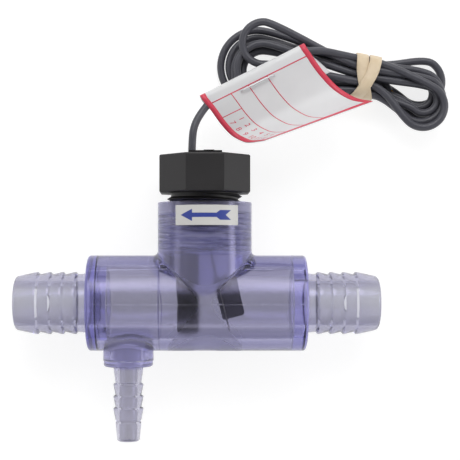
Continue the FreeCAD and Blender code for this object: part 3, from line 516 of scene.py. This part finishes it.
# From the potting, over the bend and through the tag's fold.
LEAD = (
    (-1.75, 45.825, 16.7), (-1.75, 54.825, 16.7), (-0.7, 60.6, 15.6), (3.0, 66.4, 13.7),
    (7.2, 70.9, 13.2), (16.0, 75.6, 13.2), (26.0, 80.6, 13.2), (35.0, 85.1, 13.2),
    (42.0, 87.1, 12.0),
)
FAR_END = (69.7, 73.4, 3.6)
# A turn goes 220 degrees round each end. It starts 70 degrees above the X axis at the right end
# and 70 degrees below it at the left one. The spline stays inside its control points, so they
# stand 4.7 % further out.
SWEEP, START, OUTSIDE = 220, 70, 1.047


def end_loop(centre, side, reach, top, bottom, height, steps=7):
    """Points round one end of a turn, clockwise from above."""
    tall = (top + bottom) / 2
    out = side * (reach - tall)
    lift = (top - bottom) / 2
    points = []
    for i in range(steps):
        angle = math.radians(side * START - i * SWEEP / (steps - 1))
        x = out + OUTSIDE * tall * math.cos(angle)
        y = lift + OUTSIDE * tall * math.sin(angle)
        points.append(centre + Vector((x * MM, y * MM, height * MM)))
    return points


def under_band(strand, way):
    """Two points, one on each side of the band, on the way there or back."""
    return [in_hank(BAND_AT + way * step, *strand) for step in (-6, 6)]


route = [Vector(p) * MM for p in LEAD]
for turn, (right, left) in enumerate(TURNS):
    route += under_band(UPPER[turn], 1)
    route += end_loop(RIGHT, 1, *right)
    route += under_band(LOWER[turn], -1)
    route += end_loop(LEFT, -1, *left)
route += under_band(UPPER[-1], 1)
route.append(Vector(FAR_END) * MM)
print("control points", len(route))


# %% The cable as one smooth spline
def smooth_cord(name, points, thick_mm, mat):
    """A round cord along one open spline that the points control."""
    curve = bpy.data.curves.new(name, "CURVE")
    curve.dimensions = "3D"
    curve.bevel_depth = thick_mm / 2 * MM
    curve.bevel_resolution = 5
    curve.use_fill_caps = True
    curve.resolution_u = 8
    line = curve.splines.new("NURBS")
    line.points.add(len(points) - 1)
    for spot, point in zip(line.points, points):
        spot.co = (*point, 1.0)
    line.order_u = 3
    line.use_endpoint_u = True
    curve.materials.append(mat)
    return into_scene(bpy.data.objects.new(name, curve))


def line_length(points):
    """Length in mm of the spline, and its points, read from the curve itself."""
    trial = smooth_cord("trial_line", points, 0.0, JACKET)
    mesh = bpy.data.meshes.new_from_object(trial)
    spots = [v.co.copy() for v in mesh.vertices]
    bpy.data.objects.remove(trial)
    total = sum((b - a).length for a, b in zip(spots, spots[1:]))
    return total / MM, spots


cable = smooth_cord("cable", route, CABLE, JACKET)
cable_length, cable_line = line_length(route)
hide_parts("cable_lead", "cable_coil")
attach(cable, "switch")
print("cable length in mm", round(cable_length, 1))

# %% The bare far end
# The jacket is stripped back and two short copper cores stick out and part a little. Each is
# given by (how far out, how far aside) in mm, from inside the jacket to its tip.
BARE = ((-1.0, 0.55), (0.9, 0.7), (2.8, 1.0))
tip = cable_line[-1]
out = (cable_line[-1] - cable_line[-3]).normalized()
side = Vector((-out.y, out.x, 0)).normalized()
for name, sign in (("core_end_a", 1), ("core_end_b", -1)):
    points = [tip + out * far * MM + side * sign * aside * MM for far, aside in BARE]
    core = smooth_cord(name, points, 0.9, COPPER)
    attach(core, "switch")

# %% [markdown]
# ## Rubber band
# One flat latex loop goes round the hank twice. The second wrap crosses over the first near
# the lower edge, as a band does when it is doubled. Two separate rings would be easier, but
# would look like two bands. So one strip is led round by a formula that swings it to the other
# side and back in its two turns, and lifts it where it passes over itself.

# %% The band
# The strip's section with rounded edges, as shares of its width and its thickness.
STRIP = ((-0.5, 0.15), (-0.46, 0.5), (0.0, 0.58), (0.46, 0.5), (0.5, 0.15),
         (0.5, -0.35), (0.44, -0.5), (-0.44, -0.5), (-0.5, -0.35))


def doubled_band(name, wide=4.3, thick=0.85, steps=180):
    """A flat strip that goes twice round the strands and closes on itself."""
    half_across, half_high, middle_across, middle_high = 7.4, 5.35, 2.0, 6.35
    start, squareness = math.radians(-60), 3.0
    half_apart, suddenness, skew, climb = 2.5, 2.6, 0.25, 0.9
    verts = []
    for i in range(steps):
        turn = 4 * math.pi * i / steps
        c, s = math.cos(turn + start), math.sin(turn + start)
        reach = (abs(c) ** squareness + abs(s) ** squareness) ** (-1 / squareness)
        swing = math.cos(turn / 2)
        apart = half_apart * math.tanh(suddenness * swing) + skew * s
        over = 0.5 + 0.5 * math.sin(turn / 2)
        lift = climb * over * max(0.0, 1 - abs(swing) * 1.1)
        normal = Vector((0, c / half_across, s / half_high)).normalized()
        flat = Vector((0, c * reach * half_across, s * reach * half_high)) + normal * lift
        for w, t in STRIP:
            at = flat + normal * t * thick
            verts.append(in_hank(BAND_AT + apart + w * wide, middle_across + at.y,
                                 middle_high + at.z))
    return piece(name, verts, ring_faces(steps, len(STRIP)), LATEX, slot="latex_band")


band = doubled_band("rubber_band_doubled")
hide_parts("rubber_band")
print("band faces", len(band.data.polygons))

# %% [markdown]
# ## Tag
# A strip of white film, 41 mm wide, folded over the cable and stapled. Its front flap dips
# over the strands and then curls up. A cloth simulation could drop it there, but it would not
# curl as this one does. So a surface function gives each point of it between two edge lines,
# and the printed borders, rules and numbers follow the same function exactly.

# %% The tag's surface
TAG_WIDTH = 41.0
TAG_FRONT = 35.0
TAG_BACK = 11.0
LOOP = 2.0
BACK_END = -TAG_BACK - math.pi * LOOP
# How far the back flap is askew, in mm for each mm of its length.
ASKEW = 0.4
# Left and right edges of the front flap from the top of the fold to the end, in mm.
EDGE_LEFT = ((1.9, 68.6, 15.1), (5.0, 64.9, 14.75), (8.5, 60.24, 13.6), (12.12, 56.47, 13.2),
             (15.7, 54.23, 15.0), (18.28, 53.31, 18.0), (23.08, 53.29, 24.0))
EDGE_RIGHT = ((38.6, 87.0, 15.1), (40.4, 84.6, 14.75), (42.07, 82.26, 14.0), (45.4, 78.2, 12.9),
              (50.1, 73.3, 13.2), (55.6, 69.2, 16.4), (60.8, 67.05, 22.5))


def even_line(points, steps=12):
    """A smooth line through the points, as a function of the share of its length."""
    ends = [2 * Vector(points[0]) - Vector(points[1])]
    ends += [Vector(p) for p in points]
    ends.append(2 * Vector(points[-1]) - Vector(points[-2]))
    dense = []
    for i in range(1, len(ends) - 2):
        a, b, c, d = ends[i - 1:i + 3]
        for k in range(steps):
            t = k / steps
            dense.append(0.5 * (2 * b + (c - a) * t + (2 * a - 5 * b + 4 * c - d) * t * t
                                + (3 * b - a - 3 * c + d) * t ** 3))
    dense.append(ends[-2])
    marks = [0.0]
    for a, b in zip(dense, dense[1:]):
        marks.append(marks[-1] + (b - a).length)

    def at(share):
        goal = share * marks[-1]
        for i in range(len(dense) - 1):
            if marks[i + 1] >= goal or i == len(dense) - 2:
                return dense[i].lerp(dense[i + 1], (goal - marks[i]) / (marks[i + 1] - marks[i]))

    return at


LEFT_EDGE = even_line(EDGE_LEFT)
RIGHT_EDGE = even_line(EDGE_RIGHT)
FOLD = (Vector(EDGE_RIGHT[0]) - Vector(EDGE_LEFT[0])).normalized()
OUTWARD = Vector((-FOLD.y, FOLD.x, 0))


def tag_point(u, v):
    """u runs along the fold; v is 0 on top of the fold, positive down the front flap."""
    share = u / TAG_WIDTH
    if v >= 0:
        return LEFT_EDGE(v / TAG_FRONT).lerp(RIGHT_EDGE(v / TAG_FRONT), share)
    top = Vector(EDGE_LEFT[0]).lerp(Vector(EDGE_RIGHT[0]), share)
    centre = top - Vector((0, 0, LOOP))
    turn = min(-v / LOOP, math.pi)
    spot = centre + OUTWARD * LOOP * math.sin(turn) + Vector((0, 0, LOOP * math.cos(turn)))
    back = max(0.0, -v - math.pi * LOOP)
    return spot - OUTWARD * back + FOLD * ASKEW * back


def on_tag(u, v, lift):
    """A point of the tag in metres, lifted off its middle by so many mm."""
    h = 0.05
    du = tag_point(u + h, v) - tag_point(u - h, v)
    dv = tag_point(u, min(v + h, TAG_FRONT)) - tag_point(u, max(v - h, BACK_END))
    normal = dv.cross(du).normalized()
    return (tag_point(u, v) + normal * lift) * MM


print("fold in mm", round((Vector(EDGE_RIGHT[0]) - Vector(EDGE_LEFT[0])).length, 1))


# %% Thin plates that follow the tag
def tag_patch(u0, u1, v0, v1, low, high, nu, nv):
    """Points and faces of a thin plate between two lifts, in nu by nv squares."""
    verts, faces = [], []
    for lift in (low, high):
        for i in range(nu + 1):
            for j in range(nv + 1):
                verts.append(on_tag(u0 + (u1 - u0) * i / nu, v0 + (v1 - v0) * j / nv, lift))
    row, layer = nv + 1, (nu + 1) * (nv + 1)
    for i in range(nu):
        for j in range(nv):
            a = i * row + j
            faces.append((a, a + 1, a + row + 1, a + row))
            faces.append((layer + a, layer + a + row, layer + a + row + 1, layer + a + 1))
    edge = [i * row for i in range(nu)] + [nu * row + j for j in range(nv)]
    edge += [i * row + nv for i in range(nu, 0, -1)] + [j for j in range(nv, 0, -1)]
    for a, b in zip(edge, edge[1:] + edge[:1]):
        faces.append((a, b, layer + b, layer + a))
    return verts, faces


print("faces of a plate of 4 by 4", len(tag_patch(0, 1, 0, 1, 0, 1, 4, 4)[1]))


# %% The film and its print
# The film is drawn 0.22 mm thick, and the ink lies just proud of it. Borders and rules are
# plates of their own: (u from, u to, v from, v to), with their squares along u and v.
SKIN = 0.11
INK = (0.115, 0.135)
BORDER, RULE = 2.0, 0.32
BORDER_FROM = -4.5
FAR = TAG_WIDTH - BORDER
tag = piece("tag_film", *tag_patch(0, TAG_WIDTH, BACK_END, TAG_FRONT, -SKIN, SKIN, 24, 84),
            TAG_FILM, slot="tag_film")
printed = [
    ((0.0, BORDER, BORDER_FROM, TAG_FRONT), (2, 60)),
    ((FAR, TAG_WIDTH, BORDER_FROM, TAG_FRONT), (2, 60)),
    ((BORDER, FAR, TAG_FRONT - BORDER, TAG_FRONT), (30, 3)),
    ((BORDER, FAR, 2.5, 2.5 + RULE + 0.1), (30, 1)),
    ((BORDER, 9.3, 9.4, 9.4 + RULE), (8, 1)),
]
for u in (9.3, 16.0, 23.3):
    printed.append(((u, u + RULE, 2.6, TAG_FRONT - 1.5), (1, 50)))
plates = [tag_patch(*limits, *INK, *squares) for limits, squares in printed]
print_red = piece("tag_print", *as_one(plates), TAG_RED)
print("film faces", len(tag.data.polygons), "printed plates", len(plates))


# %% Month numbers on the tag
def number_mesh(text, height):
    """A number as a flat mesh, lower middle at the origin, in mm."""
    words = bpy.data.curves.new("number", "FONT")
    words.body = text
    # A digit is as tall as 0.7 of its font's size.
    words.size = height / 0.7
    words.align_x = "CENTER"
    holder = bpy.data.objects.new("number", words)
    mesh = bpy.data.meshes.new_from_object(holder)
    spots = [v.co.copy() for v in mesh.vertices]
    faces = [tuple(p.vertices) for p in mesh.polygons]
    bpy.data.objects.remove(holder)
    return spots, faces


def month_on_tag(month):
    """A month's number, in two rows of six that read along the tag's left side."""
    column, row = (month - 1) % 6, (month - 1) // 6
    spots, faces = number_mesh(str(month), 1.9)
    u, v = 6.2 - 3.4 * row, 13.1 + 3.3 * column
    return [on_tag(u + s.y, v + s.x, 0.14) for s in spots], faces


verts, faces = as_one([month_on_tag(month) for month in range(1, 13)])
numbers = piece("tag_numbers", verts, faces, TAG_RED, smooth=False)
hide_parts("rating_tag")
print("faces in the numbers", len(faces))

# %% [markdown]
# ## Clear tee
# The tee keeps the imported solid's shape. The pipe thread in its hub is a groove, so it is cut:
# a ridge like a tap's winds down the bore and is taken out of the solid. Bump would not do
# here, because the light passes through the thread, and only real flanks bend it. The paste in
# the grooves scatters that light, so the black plug behind shows only as dark streaks.

# %% Pipe thread
# Fourteen turns to the inch, on a taper of 1 in 16 across the diameter.
PITCH = 25.4 / 14
SLOPE = 1 / 32
BORE_AT_TOP = 11.83


def thread_radius(y):
    """Radius of the hub's threaded bore at a height along the hub, in mm."""
    return BORE_AT_TOP + (y - HUB_TOP / MM) * SLOPE


def thread_helix(top, bottom, base, depth, fade, half_angle, ragged=0.0, steps=72):
    """A closed V ridge along a taper, with its ends run out to nothing."""
    verts = []
    count = int((top - bottom) / PITCH * steps)
    least, half_crest = 0.02, 0.05
    for i in range(count + 1):
        y = top - PITCH * i / steps
        angle = 2 * math.pi * i / steps
        left = (y - bottom) / PITCH
        tall = depth * min(1.0, max(least, left / fade), max(least, (top - y) / (0.3 * PITCH)))
        # The ridge swells and shrinks as it goes, by the ragged share.
        at = Vector((math.sin(angle), math.cos(angle), y * 0.9)) * 1.7
        tall *= 1 + ragged * noise.noise(at)
        r0 = thread_radius(y) + base
        r1 = thread_radius(y) + tall
        wide = max(least, (r1 - r0)) * math.tan(math.radians(half_angle)) + half_crest
        for r, dy in ((r0, -wide), (r1, -half_crest), (r1, half_crest), (r0, wide)):
            verts.append(Vector((HUB.x + r * MM * math.sin(angle), (y + dy) * MM,
                                 HUB.z + r * MM * math.cos(angle))))
    faces = ring_faces(count + 1, 4, closed=False)
    faces.append((0, 1, 2, 3))
    faces.append(tuple(4 * count + k for k in (3, 2, 1, 0)))
    return verts, faces


print("thread pitch in mm", round(PITCH, 3), "bore at the top", round(thread_radius(HUB_TOP / MM), 2))


# %% Cut the thread in the hub
def merged_copy(node, name, mat):
    """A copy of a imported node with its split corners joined."""
    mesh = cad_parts[node].data.copy()
    mesh.name = name
    work = bmesh.new()
    work.from_mesh(mesh)
    bmesh.ops.remove_doubles(work, verts=work.verts, dist=1e-6)
    work.to_mesh(mesh)
    work.free()
    if "custom_normal" in mesh.attributes:
        mesh.attributes.remove(mesh.attributes["custom_normal"])
    mesh.materials.clear()
    mesh.materials.append(mat)
    return into_scene(bpy.data.objects.new(name, mesh))


def cut(target, cutter):
    """Take the cutter out of the target and keep the result as plain mesh."""
    knife = target.modifiers.new("cut", "BOOLEAN")
    knife.operation = "DIFFERENCE"
    knife.solver = "EXACT"
    knife.object = cutter
    shape = bpy.data.meshes.new_from_object(
        target.evaluated_get(bpy.context.evaluated_depsgraph_get()))
    target.modifiers.clear()
    target.data = shape
    bpy.data.objects.remove(cutter)
    for face in shape.polygons:
        face.use_smooth = True
    shape.set_sharp_from_angle(angle=math.radians(28))


tee = merged_copy("tee_body", "tee_clear", VIOLET_PVC)
ridge = thread_helix(top=HUB_TOP / MM - 3.4, bottom=14.6, base=-0.12, depth=0.72, fade=1.2,
                     half_angle=43, ragged=0.35)
tap_mesh = outward_mesh("tap", *ridge)
tap = into_scene(bpy.data.objects.new("tap", tap_mesh))
before = len(tee.data.vertices)
cut(tee, tap)
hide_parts("tee_body")
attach(tee, "switch")
print("tee vertices", before, "to", len(tee.data.vertices))

# %% [markdown]
# ## The plug's own thread
# Full 60 degree turns show as bare black thread between the head and the hub. Inside the hub
# the ridge is lower, as the tapered joint squeezes it into the shallow grooves. Both are
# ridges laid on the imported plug's plain cone, which is simpler than cutting grooves in it.

# %% Crests of the plug's thread
def black_thread(name, **shape):
    """A stretch of the plug's thread, with crisp crests."""
    made = piece(name, *thread_helix(**shape), PLUG_BLACK, slot="black_plastic")
    made.data.set_sharp_from_angle(angle=math.radians(35))
    return made


threads = (
    black_thread("plug_thread_bare", top=HEAD_BASE / MM - 0.6, bottom=HUB_TOP / MM + 0.1,
                 base=-0.2, depth=1.3, fade=0.4, half_angle=30),
    black_thread("plug_thread_held", top=HUB_TOP / MM - 3.6, bottom=18.4,
                 base=-0.3, depth=0.5, fade=1.0, half_angle=30),
)
print("faces of the threads", [len(thread.data.polygons) for thread in threads])

# %% [markdown]
# ## Cement squeezed out of the joints
# Each cemented joint leaves a thin uneven thread of set cement, shiny and nearly clear. A plain
# torus would look machined, so the ring's middle line strays and its thickness swells with a
# noise that is read on the circle itself, which makes the ends meet.

# %% Beads of cement
def set_cement():
    """Set solvent cement: glossy, half clear, with milky lumps."""
    mat, shader, where = finish("set_pvc_cement", Transmission_Weight=0.45, Roughness=0.12, IOR=1.5)
    lumps = add(mat, "TexNoise", {"Vector": where, "Scale": per(1.111), "Detail": 2.0})
    tone = add(mat, "ValToRGB", {"Fac": lumps}, stops=((0.3, "#b9b7e0"), (0.7, "#f2f2ff")))
    bump = add(mat, "Bump", {"Height": lumps, "Distance": 0.05 * MM})
    feed(mat, shader, {"Base Color": tone, "Normal": bump})
    return mat


CEMENT = set_cement()
X, Y, Z = Vector((1, 0, 0)), Vector((0, 1, 0)), Vector((0, 0, 1))


def cement_bead(name, centre, along, across, up, radius, thick, stray, steps=120, corners=7):
    """An uneven thread round an axis, in mm; it strays by so much and swells as it goes."""
    verts = []
    for i in range(steps):
        angle = 2 * math.pi * i / steps
        spoke = across * math.sin(angle) + up * math.cos(angle)
        wander = noise.noise(spoke * 2.3 + along * radius)
        swell = thick * (1 + 0.7 * noise.noise(spoke * 4.1 - along * radius))
        heart = centre + (spoke * (radius + stray * wander) + along * stray * 0.5 * wander) * MM
        for k in range(corners):
            turn = 2 * math.pi * k / corners
            verts.append(heart + (spoke * math.cos(turn) + along * math.sin(turn)) * swell * MM)
    return piece(name, verts, ring_faces(steps, corners), CEMENT)


# One bead lies at the flange's face, one at the bypass barb's foot, one at the boss's mouth.
FACE = (SEAM - 3.3) * MM
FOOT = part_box("bypass_barb")[0].y + 26.1 * MM
MOUTH = FOOT + 2.2 * MM
# Each row: name, centre, axes, then radius, thickness and stray in mm.
BEADS = (
    ("cement_at_flange", (FACE, RUN.y, RUN.z), (-X, Y, Z), 11.0, 0.3, 0.9),
    ("cement_at_bypass", (BOSS.x, FOOT, BOSS.z), (-Y, X, Z), 5.7, 0.22, 0.5),
    ("cement_at_boss", (BOSS.x, MOUTH, BOSS.z), (-Y, X, Z), 8.85, 0.14, 0.3),
)
for name, centre, axes, radius, thick, stray in BEADS:
    cement_bead(name, Vector(centre), *axes, radius, thick, stray)

# %% [markdown]
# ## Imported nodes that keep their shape
# The barbs, the plug, the works inside the tee, the staple and the label are right as they
# were packed. Copying them would only add meshes, so they stay and get their real finish.

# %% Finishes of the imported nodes
DRESSED = {
    "outlet_barb": VIOLET_PVC, "bypass_barb": VIOLET_PVC, "switch_plug": PLUG_BLACK,
    "potting_compound": EPOXY, "paddle_leaf": STAINLESS, "hinge_pin": STAINLESS,
    "magnet_housing": HOUSING_BLACK, "leaf_clamp": HOUSING_BLACK, "paddle_magnet": MAGNET_GREY,
    "return_magnet": MAGNET_GREY, "reed_capsule": GLASS, "reed_blade_fixed": NICKEL_IRON,
    "reed_blade_moving": NICKEL_IRON, "conductor_a": CORE, "conductor_b": CORE,
    "tag_staple": STAPLE_WIRE, "flow_arrow_label": LABEL_FILM,
}
for node, mat in DRESSED.items():
    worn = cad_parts[node].data.materials
    worn.clear()
    worn.append(mat)
print("dressed", len(DRESSED), "not dressed", sorted(set(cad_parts) - set(DRESSED)))

# %% [markdown]
# ## Arrow on the label
# A plain flow arrow with a swallow tail is printed on the label, which is wrapped on the hub.
# Ink this thin could be a mask in the label's material, but its edges are crisper as a mesh.
# Its outline is cut into narrow strips, so that it follows the hub's round just proud of the
# label.

# %% The arrow
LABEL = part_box("flow_arrow_label")
LABEL_R = LABEL[1].z - HUB.z
# The label's middle is 3 degrees round the hub from its top.
LABEL_MID = math.radians(3.0) * LABEL_R / MM
# The tail ends in a notch between two points.
NOTCH, TAIL, TAIL_HALF = 6.35, 8.4, 1.65
ARROW = (  # (s, half height), from the tip to the tail's corners
    (-9.4, 0.0), (-5.25, 2.05), (-5.25, 0.75), (3.05, 0.72), (4.3, TAIL_HALF), (TAIL, TAIL_HALF),
)


def on_label(s, y, lift):
    """A point on the label: s along its arc from its middle, y up the hub, in mm."""
    angle = (LABEL_MID + s) * MM / LABEL_R
    r = LABEL_R + lift * MM
    return Vector((HUB.x + r * math.sin(angle), (LABEL[0].y + LABEL[1].y) / 2 + y * MM,
                   HUB.z + r * math.cos(angle)))


verts, faces = [], []
for (s0, h0), (s1, h1) in zip(ARROW, ARROW[1:]):
    if s1 <= s0:
        continue
    steps = max(2, int((s1 - s0) / 0.4))
    for i in range(steps):
        for t in (i / steps, (i + 1) / steps):
            s, h = s0 + (s1 - s0) * t, h0 + (h1 - h0) * t
            notch = max(0.0, (s - NOTCH) / (TAIL - NOTCH)) * TAIL_HALF
            for y in (-h, -notch, notch, h):
                verts.append(on_label(s, y, 0.02))
        base = len(verts) - 8
        faces.append((base, base + 4, base + 5, base + 1))
        faces.append((base + 2, base + 6, base + 7, base + 3))
arrow = piece("flow_arrow", verts, faces, LABEL_BLUE)
print("arrow faces", len(arrow.data.polygons))

# %% [markdown]
# ## Sizes of the cable and the tag
# The cable and the tag can be moved by hand. Their real sizes are printed: the cable's length,
# and the tag's width and its length from the back flap's end to the front flap's end.

print("cord in mm", round(cable_length), "sheet in mm", TAG_WIDTH, round(TAG_FRONT - BACK_END, 1))

# %% [markdown]
# ## Floor and light
# The floor is plain and pale, and glows a little, as a light table does, so that it lights the
# clear plastic from behind. Sharp softboxes would draw bright bars along the run. These five
# fade out towards their edges: a large one towards the top of the view, a low strip behind it,
# and weaker ones from the other three sides. The surround is white, but dims straight above, so
# that flat tops don't mirror it and wash out.

# %% Floor
def matt_floor():
    """Pale matt floor, nearly even, that glows."""
    mat, shader, where = finish("matt_pale_floor", Roughness=0.85, Emission_Strength=0.8,
                                Emission_Color=linear("#ffffff"))
    cloud = add(mat, "TexNoise", {"Vector": where, "Scale": per(333.3)})
    tone = add(mat, "ValToRGB", {"Fac": cloud}, stops=((0.0, "#969696"), (1.0, "#9a9a9a")))
    feed(mat, shader, {"Base Color": tone})
    return mat


mesh = bpy.data.meshes.new("floor")
mesh.from_pydata([(-2, -2, 0), (2, -2, 0), (2, 2, 0), (-2, 2, 0)], [], [(0, 1, 2, 3)])
mesh.materials.append(matt_floor())
floor = into_scene(bpy.data.objects.new("floor", mesh))
print("floor in metres", tuple(round(side, 1) for side in floor.dimensions))


# %% Softboxes
# They face the middle of the part, and fade from their own middle to the nearest edge.
AIM = Vector((0, 0, 0.016))
FADE = ((0.12, 1.7), (0.5, 0.0))


def softbox(name, spot, watts, wide, tall):
    """A rectangular softbox with soft edges, its place and size in metres."""
    lamp = bpy.data.lights.new(name, "AREA")
    lamp.shape = "RECTANGLE"
    lamp.size, lamp.size_y = wide, tall
    lamp.energy = watts
    lamp.use_nodes = True
    spread = add(lamp, "NewGeometry").outputs["Parametric"]
    centred = add(lamp, "VectorMath", {0: spread, 1: (0.5, 0.5, 0.0)}, operation="SUBTRACT")
    out = add(lamp, "VectorMath", {0: centred}, operation="LENGTH").outputs["Value"]
    soft = add(lamp, "ValToRGB", {"Fac": out}, stops=FADE)
    feed(lamp, lamp.node_tree.nodes["Emission"], {"Strength": soft})
    made = into_scene(bpy.data.objects.new(name, lamp))
    made.location = spot
    made.rotation_euler = (AIM - Vector(spot)).to_track_quat("-Z", "Y").to_euler()


softbox("key", (0.02, 0.5, 0.5), 4.0, 0.95, 0.5)
softbox("strip", (0.0, 0.7, 0.07), 0.3, 0.9, 0.05)
softbox("fill", (0.0, -0.6, 0.45), 0.7, 0.8, 0.2)
softbox("right", (0.65, 0.05, 0.3), 1.3, 0.5, 0.3)
softbox("left", (-0.65, 0.05, 0.3), 0.45, 0.5, 0.3)

# %% White surround
# Its brightness depends on how steeply a direction rises, from level (0) to straight up (1).
world = bpy.data.worlds.new("surround")
world.use_nodes = True
ray = add(world, "TexCoord").outputs["Generated"]
rise = add(world, "SeparateXYZ", {"Vector": ray}).outputs["Z"]
glow = add(world, "ValToRGB", {"Fac": rise},
           stops=((0.0, 0.35), (0.35, 0.6), (0.7, 0.62), (0.94, 0.26), (1.0, 0.1)))
feed(world, world.node_tree.nodes["Background"], {"Color": glow})
bpy.context.scene.world = world
bpy.context.scene.view_settings.view_transform = "Standard"
print("surround", world.name, "view", bpy.context.scene.view_settings.view_transform)
